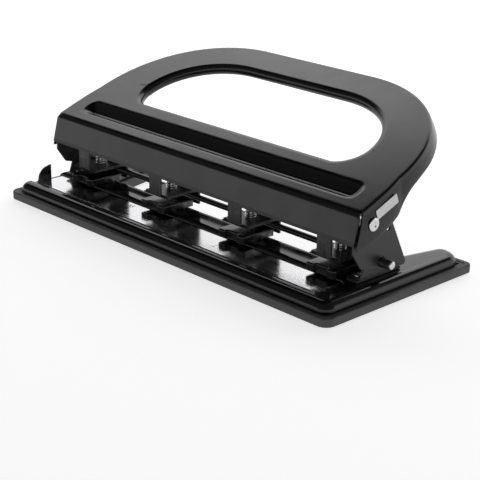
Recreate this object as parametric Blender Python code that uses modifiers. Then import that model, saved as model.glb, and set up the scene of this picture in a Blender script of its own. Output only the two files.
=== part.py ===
"""Four-hole desk punch with a D-shaped lever handle, built as separate pieces.

All sizes are in millimetres here and are scaled to metres where a mesh is made. Y runs from the paper
edge at the front to the handle's far end, X runs along the row of punches and Z is up from the desk.
"""
import math

import bmesh
import bpy
from mathutils import Matrix, Vector

MM = 0.001
GAP = 0.3                   # clearance kept between pieces that touch

# --- driving dimensions ------------------------------------------------------------------------------
DEPTH_CENTRE = 82.06        # half of the whole depth, from the tray's front to the handle's far rim
TRAY_HALF = 160.4
TRAY_DEPTH = 138.4
TRAY_TOP = 7.0
TRAY_LEDGE = 5.8            # the tray's rim is this wide, so that the steel plate sits on it
TRAY_FLOOR = 1.6
PAD_HEIGHT = 0.9
PLATE_INSET = 4.6           # the steel plate stands in from the tray's edge by this much
PLATE_TOP = 14.0
PLATE_GAUGE = 1.4
PLATE_ROUND = 6.2           # radius of the plate's rounded top edge
BAR_REAR = 65.0             # rear edge of the middle bar of the base plate
NOTCH_TIP = 131.4           # half-width of the notch between the feet at their tips, and at its root
NOTCH_ROOT = 114.6
CHANNEL = (15.4, 42.6, 10.5)            # front, rear and floor height of the ruler's channel
CHANNEL_END = 136.5
PUNCH_X = (-120.0, -40.0, 40.0, 120.0)  # four holes, 80 mm apart
PUNCH_Y = 54.9
PUNCH_RADIUS = 3.0
DIE_TOP = 19.6
GUIDE_LOW = (23.9, 25.9)    # lower guide flange of a head, bottom and top
GUIDE_HIGH = (42.0, 43.2)
PIVOT_Y = 48.8
PIVOT_Z = 52.2
HANDLE_TILT = math.radians(21.0)
HANDLE_FRONT = (38.4, 60.8) # Y and Z where the handle's top and its front flange would meet
HANDLE_HALF = 150.8
HANDLE_REACH = 130.6        # length of the top from front to far edge, along its slope
HANDLE_GAUGE = 1.2
BRACKET_OUTER = 147.9
BRACKET_GAUGE = 1.5
ROD_Y = 67.0
ROD_Z = 20.4
ROD_RADIUS = 2.1
LOCK_Y = 61.8
LOCK_Z = 24.0
LOCK_RADIUS = 3.2
WEB_GAUGE = 1.3
FLANGE_GAUGE = 1.5
SCREW_X = 139.5
SCREW_Y = (50.0, 74.0)
RIVET_SHANK = 2.0
RIVET_HEAD = 4.3


def clear_scene():
    for obj in list(bpy.data.objects):
        bpy.data.objects.remove(obj, do_unlink=True)


def collection(name):
    found = bpy.data.collections.new(name)
    bpy.context.scene.collection.children.link(found)
    return found


def material(name, colour, roughness, metallic):
    made = bpy.data.materials.new(name)
    made.use_nodes = True
    shader = made.node_tree.nodes["Principled BSDF"]
    shader.inputs["Base Color"].default_value = (*colour, 1.0)
    shader.inputs["Roughness"].default_value = roughness
    shader.inputs["Metallic"].default_value = metallic
    return made


# --- outlines ----------------------------------------------------------------------------------------
def rounded(corners, steps=6):
    """Turn (x, y, radius) corners into points, each corner an arc of that radius."""
    points = []
    count = len(corners)
    for index, (x, y, radius) in enumerate(corners):
        here = Vector((x, y))
        before = Vector(corners[index - 1][:2]) - here
        after = Vector(corners[(index + 1) % count][:2]) - here
        if radius <= 0:
            points.append((x, y))
            continue
        half = before.angle(after) / 2
        reach = radius / math.tan(half)
        centre = here + (before.normalized() + after.normalized()).normalized() * (radius / math.sin(half))
        start = here + before.normalized() * reach - centre
        sweep = start.angle_signed(here + after.normalized() * reach - centre)
        for step in range(steps + 1):
            points.append(tuple(centre + Matrix.Rotation(-sweep * step / steps, 2) @ start))
    return points


def mirrored(half):
    """Close an outline from its right half, given from the front middle round to the rear middle."""
    return half + [(-x, y, radius) for x, y, radius in reversed(half)]


def ring_outline(radius, sides, centre=(0.0, 0.0)):
    return [(centre[0] + radius * math.cos(math.tau * k / sides),
             centre[1] + radius * math.sin(math.tau * k / sides)) for k in range(sides)]


# --- makers ------------------------------------------------------------------------------------------
def add_object(name, mesh, target):
    obj = bpy.data.objects.new(name, mesh)
    target.objects.link(obj)
    return obj


def mesh_from_curve(curve_object, name):
    """Make a welded mesh of a curve, so that it can be cut or joined."""
    bpy.context.view_layer.update()
    graph = bpy.context.evaluated_depsgraph_get()
    mesh = bpy.data.meshes.new_from_object(curve_object.evaluated_get(graph))
    mesh.name = name
    work = bmesh.new()
    work.from_mesh(mesh)
    bmesh.ops.remove_doubles(work, verts=work.verts, dist=0.00001)
    bmesh.ops.recalc_face_normals(work, faces=work.faces)
    work.to_mesh(mesh)
    work.free()
    bpy.data.objects.remove(curve_object, do_unlink=True)
    return mesh


def slab_mesh(name, outlines, low, high):
    """Extrude closed outlines in the XY plane between two heights; inner outlines are holes."""
    curve = bpy.data.curves.new(name, "CURVE")
    curve.dimensions = "2D"
    curve.fill_mode = "BOTH"
    curve.extrude = (high - low) / 2 * MM
    for outline in outlines:
        spline = curve.splines.new("POLY")
        spline.points.add(len(outline) - 1)
        for point, (x, y) in zip(spline.points, outline):
            point.co = (x * MM, y * MM, 0.0, 1.0)
        spline.use_cyclic_u = True
    holder = bpy.data.objects.new(name, curve)
    bpy.context.scene.collection.objects.link(holder)
    mesh = mesh_from_curve(holder, name)
    for vertex in mesh.vertices:
        vertex.co.z += (low + high) / 2 * MM
    return mesh


def turn_mesh(mesh, matrix_rows):
    """Send each vertex's x, y, z to the three axes named by matrix_rows, such as 'zxy'."""
    picks = ["xyz".index(letter) for letter in matrix_rows]
    for vertex in mesh.vertices:
        old = vertex.co.copy()
        vertex.co = Vector((old[picks[0]], old[picks[1]], old[picks[2]]))


def slab(name, outlines, low, high, target, facing="xyz"):
    mesh = slab_mesh(name, outlines, low, high)
    turn_mesh(mesh, facing)
    return add_object(name, mesh, target)


def box(name, low, high, target):
    work = bmesh.new()
    bmesh.ops.create_cube(work, size=1.0)
    for vertex in work.verts:
        vertex.co = Vector([(low[axis] + (vertex.co[axis] + 0.5) * (high[axis] - low[axis])) * MM
                            for axis in range(3)])
    mesh = bpy.data.meshes.new(name)
    work.to_mesh(mesh)
    work.free()
    return add_object(name, mesh, target)


def turned(name, profile, target, sides=24):
    """Turn a profile of (radius, height) points, listed from the top down, about the Z axis."""
    mesh = bpy.data.meshes.new(name)
    closed = profile[0][0] > 0.0
    edges = [(k, k + 1) for k in range(len(profile) - 1)]
    if closed:
        edges.append((len(profile) - 1, 0))
    mesh.from_pydata([(radius * MM, 0.0, height * MM) for radius, height in profile], edges, [])
    obj = add_object(name, mesh, target)
    screw = obj.modifiers.new("Turn", "SCREW")
    screw.axis = "Z"
    screw.steps = sides
    screw.render_steps = sides
    screw.use_merge_vertices = True
    screw.merge_threshold = 0.00001
    return obj


def bevel(obj, width, segments, limit=40.0):
    modifier = obj.modifiers.new("Edges", "BEVEL")
    modifier.width = width * MM
    modifier.segments = segments
    modifier.limit_method = "ANGLE"
    modifier.angle_limit = math.radians(limit)
    return modifier


def cut(obj, cutter, operation="DIFFERENCE"):
    cutter.hide_render = True
    cutter.display_type = "WIRE"
    modifier = obj.modifiers.new("Cut", "BOOLEAN")
    modifier.operation = operation
    modifier.solver = "EXACT"
    modifier.object = cutter
    return modifier


def finish(obj, shade, root, smooth=35.0):
    """Give an object its material and shading, and hang it on the root empty."""
    obj.data.materials.clear()
    obj.data.materials.append(shade)
    if obj.type == "MESH":
        obj.data.shade_smooth()
        obj.data.set_sharp_from_angle(angle=math.radians(smooth))
    obj.parent = root
    return obj


def move_origin(obj, point):
    """Put the object's origin at a point, leaving its shape where it is."""
    shift = Vector(point) * MM
    for vertex in obj.data.vertices:
        vertex.co -= shift
    obj.location = shift


# --- the base ----------------------------------------------------------------------------------------
def base_outline(inset, front, outer, inner, notch):
    """Outline of a bar with two rear feet, drawn in by inset from the tray's edge.

    The last four values are its corner radii at the front, the feet's tips and the notch between them.
    """
    side = TRAY_HALF - inset
    tip = TRAY_DEPTH - inset
    return rounded(mirrored([
        (side, inset, front),
        (side, tip, outer),
        (NOTCH_TIP + inset, tip, inner),
        (NOTCH_ROOT + inset, BAR_REAR + PLATE_INSET - inset, notch),
    ]))


def tray_outline(inset):
    corner = max(5.0 - inset, 1.0)
    return base_outline(inset, max(7.5 - inset, 1.0), corner, corner, 8.0 + inset)


def plate_outline(inset):
    """Outline of the steel plate, whose corners are rounder than the tray's at the feet."""
    return base_outline(PLATE_INSET + inset, 8.0 - inset, 12.0 - inset, 7.5 - inset, 12.0 + inset)


def build_tray(parts, cutters):
    tray = slab("chip_tray", [tray_outline(0.0)], PAD_HEIGHT + GAP, TRAY_TOP, parts)
    low = PAD_HEIGHT + GAP + TRAY_FLOOR
    hollow = slab("tray_hollow", [tray_outline(TRAY_LEDGE)], low, TRAY_TOP + 5, cutters)
    cut(tray, hollow)
    return tray


def build_pads(parts):
    spots = [(-142.0, 16.0), (142.0, 16.0), (-146.0, 122.0), (146.0, 122.0)]
    pads = []
    for number, spot in enumerate(spots, start=1):
        pads.append(slab(f"rubber_foot_{number}", [ring_outline(6.0, 20, spot)], 0.0, PAD_HEIGHT, parts))
    return pads


def build_plate(parts, cutters):
    """Pressed steel plate: front ridge, channel for the ruler, middle bar and two rear feet."""
    floor = CHANNEL[2]
    plate = slab("base_plate", [plate_outline(0.0)], TRAY_TOP + GAP, PLATE_TOP, parts)
    bevel_top(plate, PLATE_TOP, PLATE_ROUND)
    channel = slab("channel_cutter", [channel_outline(0.0)], floor, PLATE_TOP + 5, cutters)
    cut(plate, channel)
    hollow = slab("plate_hollow", [plate_outline(PLATE_GAUGE)], 0.0,
                  PLATE_TOP - PLATE_GAUGE, cutters)
    bevel_top(hollow, PLATE_TOP - PLATE_GAUGE, PLATE_ROUND - PLATE_GAUGE)
    skin = slab("channel_skin", [channel_outline(PLATE_GAUGE)], floor - PLATE_GAUGE, PLATE_TOP + 6, cutters)
    cut(hollow, skin)
    cut(plate, hollow)
    for number, x in enumerate(PUNCH_X, start=1):
        hole = slab(f"chip_hole_{number}", [ring_outline(PUNCH_RADIUS + 1.0, 16, (x, PUNCH_Y))], 0.0,
                    PLATE_TOP + 5, cutters)
        cut(plate, hole)
    return plate


def channel_outline(grow):
    front, rear = CHANNEL[:2]
    left = -TRAY_HALF - 10.0
    return rounded([(left, front - grow, 0.0), (CHANNEL_END + grow, front - grow, 5.0),
                    (CHANNEL_END + grow, rear + grow, 5.0), (left, rear + grow, 0.0)], 4)


def bevel_top(obj, height, width):
    """Round only the edge that runs round the top face of a slab."""
    work = bmesh.new()
    work.from_mesh(obj.data)
    weight = work.edges.layers.float.new("bevel_weight_edge")
    for edge in work.edges:
        level = all(abs(vertex.co.z - height * MM) < 0.00001 for vertex in edge.verts)
        if level and edge.calc_face_angle(0.0) > math.radians(45.0):
            edge[weight] = 1.0
    work.to_mesh(obj.data)
    work.free()
    bevel(obj, width, 3).limit_method = "WEIGHT"


# --- the ruler ---------------------------------------------------------------------------------------
def build_ruler(parts, cutters):
    """Steel ruler with an upright quarter-round paper stop folded up at its left end."""
    low = CHANNEL[2] + GAP
    ruler = box("ruler", (-150.0, 18.5, low), (134.0, 41.0, low + 1.0), parts)
    size = 12.2
    corner = (30.6, low + 0.5)
    arc = [(corner[0] - size * math.sin(math.radians(a)), corner[1] + size * math.cos(math.radians(a)))
           for a in range(0, 91, 10)]
    stop = slab("stop_fin", [[corner] + arc], -150.0, -149.0, cutters, facing="zxy")
    cut(ruler, stop, "UNION")
    return ruler


# --- the heads ---------------------------------------------------------------------------------------
def die_block_outline(x):
    return rounded([(x - 12.3, 36.2, 1.5), (x - 5.6, 36.2, 0.8), (x - 4.6, 39.0, 0.8), (x + 4.6, 39.0, 0.8),
                    (x + 5.6, 36.2, 0.8), (x + 12.3, 36.2, 1.5), (x + 12.3, ROD_Y - ROD_RADIUS - GAP, 1.0),
                    (x - 12.3, ROD_Y - ROD_RADIUS - GAP, 1.0)], 3)


def build_die_block(number, x, parts):
    block = slab(f"die_block_{number}", [die_block_outline(x), ring_outline(PUNCH_RADIUS + GAP, 20, (x, PUNCH_Y))],
                 PLATE_TOP + GAP, DIE_TOP, parts)
    return block


def build_head_frame(number, x, parts, cutters):
    """Sheet-steel frame: rear column, lower and upper guide flanges and a narrow front plate."""
    low, low_top = GUIDE_LOW
    high, high_top = GUIDE_HIGH
    column = ROD_Y + ROD_RADIUS + GAP
    rear = column + 1.7
    outer = rounded([(39.4, low, 0.8), (column, low, 0.0), (column, PLATE_TOP + GAP, 0.0),
                     (rear, PLATE_TOP + GAP, 0.0), (rear, high_top, 0.9), (39.4, high_top, 0.9)], 3)
    inner = [(40.9, low_top), (column - 0.2, low_top), (column - 0.2, high), (40.9, high)]
    frame = slab(f"head_frame_{number}", [outer, inner], x - 12.0, x + 12.0, parts, facing="zxy")
    for side in (-1, 1):
        near = x + side * 5.9
        far = x + side * 14.0
        window = box(f"front_window_{number}_{side}", (min(near, far), 38.0, low_top + 0.4),
                     (max(near, far), 52.0, high - 0.4), cutters)
        cut(frame, window)
    for at, heights in (("low", GUIDE_LOW), ("high", GUIDE_HIGH)):
        bore = slab(f"guide_bore_{number}_{at}", [ring_outline(PUNCH_RADIUS + GAP, 20, (x, PUNCH_Y))],
                    heights[0] - 1, heights[1] + 1, cutters)
        cut(frame, bore)
    return frame


def build_pin(number, x, parts):
    tip = GUIDE_LOW[0] + 0.2
    profile = [(0.0, 50.2), (2.4, 50.2), (3.0, 49.6), (3.0, tip), (0.0, tip + 1.0)]
    pin = turned(f"punch_pin_{number}", profile, parts, 16)
    pin.location = Vector((x, PUNCH_Y, 0.0)) * MM
    return pin


def build_collar(number, x, parts):
    inner = PUNCH_RADIUS + GAP
    profile = [(inner, 39.6), (4.9, 39.6), (4.9, 38.0), (inner, 38.0)]
    collar = turned(f"spring_collar_{number}", profile, parts, 16)
    collar.location = Vector((x, PUNCH_Y, 0.0)) * MM
    return collar


def build_spring(number, x, parts):
    """Compression spring between the lower guide flange and the collar."""
    wire = 0.45
    low = GUIDE_LOW[1] + GAP + wire
    high = 38.0 - GAP - wire
    turns = 5.5
    per_turn = 9
    count = int(turns * per_turn)
    curve = bpy.data.curves.new(f"return_spring_{number}", "CURVE")
    curve.dimensions = "3D"
    curve.bevel_depth = wire * MM
    curve.bevel_resolution = 0
    curve.use_fill_caps = True
    spline = curve.splines.new("POLY")
    spline.points.add(count)
    for index, point in enumerate(spline.points):
        angle = math.tau * index / per_turn
        height = low + (high - low) * index / count
        point.co = (3.85 * math.cos(angle) * MM, 3.85 * math.sin(angle) * MM, height * MM, 1.0)
    spring = bpy.data.objects.new(curve.name, curve)
    parts.objects.link(spring)
    spring.location = Vector((x, PUNCH_Y, 0.0)) * MM
    return spring


# --- brackets and what they hold ---------------------------------------------------------------------
def build_bracket(side, word, parts):
    """Side plate that carries the handle's rivet, with a chamfered front and a sloping rear edge."""
    outline = rounded([(35.2, 34.6, 1.0), (42.6, 24.0, 1.0), (61.0, 19.2, 3.0), (85.8, 16.9, 2.0),
                       (67.2, 54.0, 3.0), (56.0, 56.2, 3.0), (48.5, 55.6, 2.0), (41.4, 52.4, 1.0),
                       (38.2, 49.2, 1.0), (35.6, 40.6, 1.0)], 3)
    faces = sorted((side * BRACKET_OUTER, side * (BRACKET_OUTER - BRACKET_GAUGE)))
    holes = [ring_outline(RIVET_SHANK + GAP, 16, (PIVOT_Y, PIVOT_Z)), ring_outline(1.7, 12, (66.6, 45.0))]
    if side > 0:
        holes.append(lock_hole())
    bracket = slab(f"{word}_bracket", [outline] + holes, faces[0], faces[1], parts, facing="zxy")
    return bracket


def lock_hole():
    """Outline of the hole that the hold-down pin slides in, on the right-hand side only."""
    return ring_outline(LOCK_RADIUS + GAP + 0.1, 16, (LOCK_Y, LOCK_Z))


def build_foot(side, word, parts, cutters):
    """L-shaped foot: a web welded inside the side plate and a flange screwed to the base plate."""
    web_outer = BRACKET_OUTER - BRACKET_GAUGE - GAP
    web_inner = web_outer - WEB_GAUGE
    low = PLATE_TOP + GAP
    flange = slab(f"{word}_foot", [rounded([(134.5, 42.0, 5.0), (web_outer, 42.0, 0.0), (web_outer, 82.0, 0.0),
                                            (134.5, 82.0, 5.0)], 4)], low, low + FLANGE_GAUGE, parts)
    corners = [(44.5, low + 0.5, 0.0), (81.5, low + 0.5, 0.0), (76.0, 31.0, 3.0), (50.0, 31.0, 3.0)]
    holes = [lock_hole()] if side > 0 else []
    web = slab(f"{word}_web", [rounded(corners, 3)] + holes, web_inner, web_outer, cutters, facing="zxy")
    cut(flange, web, "UNION")
    for number, y in enumerate(SCREW_Y, start=1):
        spot = (SCREW_X, y)
        hole = slab(f"{word}_screw_hole_{number}", [ring_outline(1.8, 14, spot)], low - 1, low + 4, cutters)
        cut(flange, hole)
    if side < 0:
        for obj in [flange, web] + [cutters.objects[f"{word}_screw_hole_{n}"] for n in (1, 2)]:
            mirror_mesh(obj)
    return flange


def mirror_mesh(obj):
    work = bmesh.new()
    work.from_mesh(obj.data)
    for vertex in work.verts:
        vertex.co.x = -vertex.co.x
    bmesh.ops.reverse_faces(work, faces=work.faces)
    work.to_mesh(obj.data)
    work.free()


def build_screw(side, word, number, y, parts):
    """Pan-head screw that stands on the foot's flange."""
    seat = PLATE_TOP + GAP + FLANGE_GAUGE + GAP
    profile = [(0.0, seat + 1.6), (1.6, seat + 1.4), (2.8, seat + 0.5), (2.9, seat), (1.4, seat),
               (1.4, PLATE_TOP + 0.6), (0.0, PLATE_TOP + 0.6)]
    screw = turned(f"{word}_foot_screw_{number}", profile, parts, 18)
    screw.location = Vector((side * SCREW_X, y, 0.0)) * MM
    return screw


def build_rivet(side, word, parts):
    """Pivot rivet: domed outer head with a dimple, and a shank through flange and bracket."""
    face = HANDLE_HALF + GAP
    tail = BRACKET_OUTER - BRACKET_GAUGE - GAP
    profile = [(0.0, face + 0.2), (1.2, face + 0.4), (1.6, face + 1.0), (2.8, face + 1.0),
               (RIVET_HEAD, face + 0.4), (RIVET_HEAD, face), (RIVET_SHANK, face), (RIVET_SHANK, tail),
               (3.4, tail), (3.4, tail - 0.8), (0.0, tail - 0.8)]
    rivet = turned(f"{word}_pivot_rivet", profile, parts, 16)
    rivet.rotation_euler = (0.0, side * math.pi / 2, 0.0)
    rivet.location = Vector((0.0, PIVOT_Y, PIVOT_Z)) * MM
    return rivet


def build_rod(parts):
    """Black stop rod that the sheets butt against, running behind all four dies."""
    half = BRACKET_OUTER - BRACKET_GAUGE - GAP - WEB_GAUGE - GAP
    rod = slab("paper_stop_rod", [ring_outline(ROD_RADIUS, 14, (ROD_Y, ROD_Z))], -half, half, parts, facing="zxy")
    return rod


def build_lock(parts):
    """Hold-down pin: a ribbed black grip and a steel pin with a bright end."""
    start = 145.6
    ribs = [(0.0, 155.2)]
    for rib in range(4):
        top = 155.2 - rib * 1.4
        ribs += [(2.9, top), (LOCK_RADIUS, top - 0.3), (LOCK_RADIUS, top - 0.9), (2.9, top - 1.2)]
    ribs += [(2.9, start), (0.0, start)]
    grip = turned("lock_grip", ribs, parts, 14)
    cap = turned("lock_pin_cap", [(0.0, 156.9), (2.2, 156.9), (2.7, 156.4), (2.7, 155.5), (0.0, 155.5)], parts, 14)
    for piece in (grip, cap):
        piece.rotation_euler = (0.0, math.pi / 2, 0.0)
        piece.location = Vector((0.0, LOCK_Y, LOCK_Z)) * MM
    return grip, cap


def build_press_bar(parts):
    """Bar that the four pins hang from; the handle's rib pushes it down."""
    bar = box("press_bar", (-133.0, 50.4, 50.5), (133.0, 72.4, 52.0), parts)
    bevel(bar, 0.4, 1)
    return bar


# --- the handle --------------------------------------------------------------------------------------
SUPER_POWER = 2.1
BEND = 6.0                  # outer radius of the front bend
SIDE_BEND = 1.6             # outer radius of the crease along the sides
SIDE_TURN = math.radians(74.0)
SIDE_BOW = 44.0             # radius of the side flange's slight bow below the crease
LIP_BEND = 4.2
LIP_TURN = math.radians(172.0)
FRONT_TURN = math.radians(54.9)
FRONT_FLANGE = 20.5
SETBACK = BEND * math.tan(FRONT_TURN / 2)
FLANGE_END = 149.0          # where the front flange stops, just short of the side flange
SIDE_EDGE = 2.4             # how far the side flange starts behind the front flange, along the slope
EDGE_SPREAD = 12.0          # length over which the side flange turns upright behind its front edge
GROOVE_HALF = 133.5
GROOVE_FRONT = 9.6
GROOVE_REAR = 25.9
GROOVE_CORNER = 7.0
GROOVE_STEEP = 0.71
GROOVE_RAMP = 0.446
OPENING = (106.3, 38.5, 102.7)          # half-width, front and rear of the hand hole, to its lip's crown
HOLE_CORNER = 14.0
FLANGE_DROPS = [(38.0, 20.0), (48.4, 25.1), (66.4, 23.4), (74.0, 22.3), (76.0, 20.0), (78.0, 17.2),
                (81.0, 15.0), (86.0, 12.6), (95.0, 11.6), (170.0, 11.4)]
FLANGE_ROWS = 2
BEND_ROWS = 3
LIP_ROWS = 5


def super_quarter(angle, centre, reach):
    """Point and outward normal on a quarter of a superellipse; angle 0 is along +X."""
    cosine = max(math.cos(angle), 0.0)
    sine = max(math.sin(angle), 0.0)
    point = Vector((centre[0] + reach[0] * cosine ** (2 / SUPER_POWER),
                    centre[1] + reach[1] * sine ** (2 / SUPER_POWER)))
    normal = Vector((cosine ** (2 - 2 / SUPER_POWER) / reach[0], sine ** (2 - 2 / SUPER_POWER) / reach[1]))
    return point, normal.normalized()


def front_edge(fall):
    """Where the front bend and flange lie along the slope at a depth under the top."""
    foot = BEND * (1 - math.cos(FRONT_TURN))
    if fall < foot:
        return SETBACK - BEND * math.sin(math.acos(1 - fall / BEND))
    return SETBACK - BEND * math.sin(FRONT_TURN) - (fall - foot) / math.tan(FRONT_TURN)


def side_offset(fall):
    """How far the side's outside has come out at a depth under the top."""
    foot = SIDE_BEND * (1 - math.cos(SIDE_TURN))
    if fall < foot:
        return SIDE_BEND * math.sin(math.acos(1 - fall / SIDE_BEND))
    lean = math.cos(SIDE_TURN)
    left = max(lean - (fall - foot) / SIDE_BOW, 0.0)
    return SIDE_BEND * math.sin(SIDE_TURN) + SIDE_BOW * (math.sqrt(1 - left * left) - math.sqrt(1 - lean * lean))


SIDE_REACH = side_offset(30.0)


def handle_stations(fine):
    """Matching points on the rim and the hand hole for the right half, front middle to rear middle.

    Each is (rim base, rim normal, hole point, hole normal, part). The last front station and the one
    called side edge share their base and their hole point; the two flanges are split between them.
    """
    hole_half, hole_front, hole_rear = OPENING
    stations = []
    edge = HANDLE_HALF - SIDE_REACH
    flat_hole = hole_half - HOLE_CORNER
    for step in range(fine + 1):
        share = step / fine
        stations.append((Vector((edge * share, SETBACK)), Vector((0.0, -1.0)),
                         Vector((flat_hole * share, hole_front)), Vector((0.0, 1.0)), "front"))
    for step in range(fine + 1):
        share = step / fine
        v = SETBACK + (40.0 - SETBACK) * share
        normal = Vector((1.0, 0.05 * share)).normalized()
        point = Vector((HANDLE_HALF - 2.1 * (v / 40.0) ** 4, v)) - normal * SIDE_REACH
        hole_point, hole_normal = hole_corner(math.pi / 2 * share, HOLE_CORNER)
        hole_point.y += 5.0 * share
        stations.append((point, normal, hole_point, hole_normal, "side" if step else "side edge"))
    for step in range(1, fine + 1):
        angle = math.pi / 2 * step / fine
        rim, normal = super_quarter(angle, (50.0, 40.0), (HANDLE_HALF - 2.1 - 50.0, HANDLE_REACH - 40.0))
        hole, inward = super_quarter(angle, (45.0, 55.0), (hole_half - 45.0, hole_rear - 55.0))
        stations.append((rim - normal * SIDE_REACH, normal, hole, -inward, "side"))
    rear_steps = 4
    for step in range(1, rear_steps + 1):
        share = 1 - step / rear_steps
        stations.append((Vector((50.0 * share, HANDLE_REACH - SIDE_REACH)), Vector((0.0, 1.0)),
                         Vector((45.0 * share, hole_rear)), Vector((0.0, -1.0)), "side"))
    return stations


def hole_corner(angle, radius):
    """Point and normal on the hand hole's front corner; angle 0 is its straight front edge."""
    centre = Vector((OPENING[0] - radius, OPENING[1] + radius))
    outward = Vector((math.sin(angle), -math.cos(angle)))
    return centre + outward * radius, -outward


def flange_drop(y):
    for (y0, drop0), (y1, drop1) in zip(FLANGE_DROPS, FLANGE_DROPS[1:]):
        if y <= y1:
            return drop0 + (drop1 - drop0) * max(0.0, (y - y0) / (y1 - y0))
    return FLANGE_DROPS[-1][1]


def smooth(value):
    value = min(max(value, 0.0), 1.0)
    return value * value * (3 - 2 * value)


def eased_start(distance, radius):
    """Zero before an edge, then a straight climb, with an arc of that reach between them."""
    if distance <= -radius:
        return 0.0
    if distance >= radius:
        return distance
    return (distance + radius) ** 2 / (4 * radius)


def groove_drop(x, v):
    """Depth of the pressed groove: a steep front and ends, and a long ramp up to the rear."""
    half_v = (GROOVE_REAR - GROOVE_FRONT) / 2
    qx = abs(x) - (GROOVE_HALF - GROOVE_CORNER)
    qv = abs(v - (GROOVE_REAR + GROOVE_FRONT) / 2) - (half_v - GROOVE_CORNER)
    inside = GROOVE_CORNER - math.hypot(max(qx, 0.0), max(qv, 0.0)) - min(max(qx, qv), 0.0)
    steep = GROOVE_STEEP * eased_start(inside, 1.1)
    ramp = GROOVE_RAMP * eased_start(GROOVE_REAR - v, 1.6)
    return min(steep, ramp)


def handle_column(station, top_rows):
    """Points (x, v, w) across the sheet at one station, from the rim's lower edge to the lip's."""
    base, normal, hole, inward, part = station
    points = []
    if part == "front":
        turn = FRONT_TURN
        radius = BEND
        deepest = BEND * (1 - math.cos(FRONT_TURN)) + (FRONT_FLANGE - SETBACK) * math.sin(FRONT_TURN)
    else:
        turn = SIDE_TURN
        radius = SIDE_BEND
        y = HANDLE_FRONT[0] + (base.y + normal.y * SIDE_REACH) * math.cos(HANDLE_TILT)
        deepest = flange_drop(y) * math.cos(HANDLE_TILT)
    foot = radius * (1 - math.cos(turn))
    falls = [deepest + (foot - deepest) * k / FLANGE_ROWS for k in range(FLANGE_ROWS)]
    falls += [radius * (1 - math.cos(turn * (1 - k / BEND_ROWS))) for k in range(BEND_ROWS + 1)]
    lean = math.tan(HANDLE_TILT) * (1 - smooth((base.y - 45.0) / 30.0))
    upright = smooth((base.y - SETBACK) / EDGE_SPREAD)
    for fall in falls:
        if part == "front":
            wide = 1 + (FLANGE_END / (HANDLE_HALF - SIDE_REACH) - 1) * smooth(fall / foot)
            points.append((base.x * wide, front_edge(fall), -fall))
            continue
        spot = base + normal * side_offset(fall)
        slanted = (front_edge(fall) - SETBACK + SIDE_EDGE * smooth(fall / foot)) * (1 - upright)
        points.append((spot.x, spot.y + slanted - lean * upright * max(fall - foot, 0.0), -fall))
    edge = hole - inward * LIP_BEND
    for share in top_rows:
        spot = base.lerp(edge, share)
        points.append((spot.x, spot.y, -groove_drop(spot.x, spot.y)))
    for step in range(LIP_ROWS + 1):
        angle = LIP_TURN * step / LIP_ROWS
        spot = edge + inward * (LIP_BEND * math.sin(angle))
        points.append((spot.x, spot.y, -LIP_BEND + LIP_BEND * math.cos(angle)))
    return points


def handle_point(x, v, w):
    """From the handle's own sheet (x, along the slope v, off the sheet w) to the bench."""
    return Vector((x, HANDLE_FRONT[0] + v * math.cos(HANDLE_TILT) - w * math.sin(HANDLE_TILT),
                   HANDLE_FRONT[1] + v * math.sin(HANDLE_TILT) + w * math.cos(HANDLE_TILT)))


def build_handle(parts, cutters):
    """Pressed sheet handle: a loft across the sheet at each station, thickened inwards."""
    rows_v = (6.0, 8.6, 10.6, 13.0, 15.9, 19.0, 22.5, 25.0, 27.5)
    last = OPENING[1] - LIP_BEND
    top_rows = [(v - SETBACK) / (last - SETBACK) for v in rows_v]
    half = handle_stations(10)
    columns = [(handle_column(station, top_rows), station[4]) for station in half]
    flipped = [([(-x, v, w) for x, v, w in points], part) for points, part in reversed(columns[1:-1])]
    columns = columns + flipped
    work = bmesh.new()
    grid = [[work.verts.new(handle_point(*point) * MM) for point in points] for points, _ in columns]
    count = len(columns)
    for index in range(count):
        after = (index + 1) % count
        if {columns[index][1], columns[after][1]} == {"front", "side edge"}:
            continue
        for row in range(len(grid[0]) - 1):
            work.faces.new((grid[index][row], grid[after][row], grid[after][row + 1], grid[index][row + 1]))
    bmesh.ops.remove_doubles(work, verts=work.verts, dist=0.000002)
    bmesh.ops.recalc_face_normals(work, faces=work.faces)
    work.faces.ensure_lookup_table()
    top_face = max(work.faces, key=lambda face: face.calc_center_median().z)
    if top_face.normal.z < 0:
        bmesh.ops.reverse_faces(work, faces=work.faces)
    mesh = bpy.data.meshes.new("handle")
    work.to_mesh(mesh)
    work.free()
    handle = add_object("handle", mesh, parts)
    sheet = handle.modifiers.new("Sheet", "SOLIDIFY")
    sheet.thickness = HANDLE_GAUGE * MM
    sheet.offset = -1.0
    for side in (-1, 1):
        low, high = sorted((side * (HANDLE_HALF - 4), side * (HANDLE_HALF + 4)))
        bore = slab(f"rivet_bore_{side}", [ring_outline(RIVET_SHANK + GAP, 16, (PIVOT_Y, PIVOT_Z))], low, high,
                    cutters, facing="zxy")
        cut(handle, bore)
    return handle


def build_rib(parts):
    """Plate welded under the handle's top, whose lower edge pushes the press bar."""
    bottom = 52.3
    y = PIVOT_Y + 20.3
    under = HANDLE_FRONT[1] + (y - HANDLE_FRONT[0]) * math.tan(HANDLE_TILT) - HANDLE_GAUGE / math.cos(HANDLE_TILT)
    rib = slab("press_rib", [[(y - 0.8, bottom), (y + 0.8, bottom), (y + 0.8, under - 0.5),
                              (y - 0.8, under - 1.1)]], -104.0, 104.0, parts, facing="zxy")
    return rib


LABEL_LEAN = 0.118          # how far the label leans inwards for each unit of height, on the bowed flange


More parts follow.
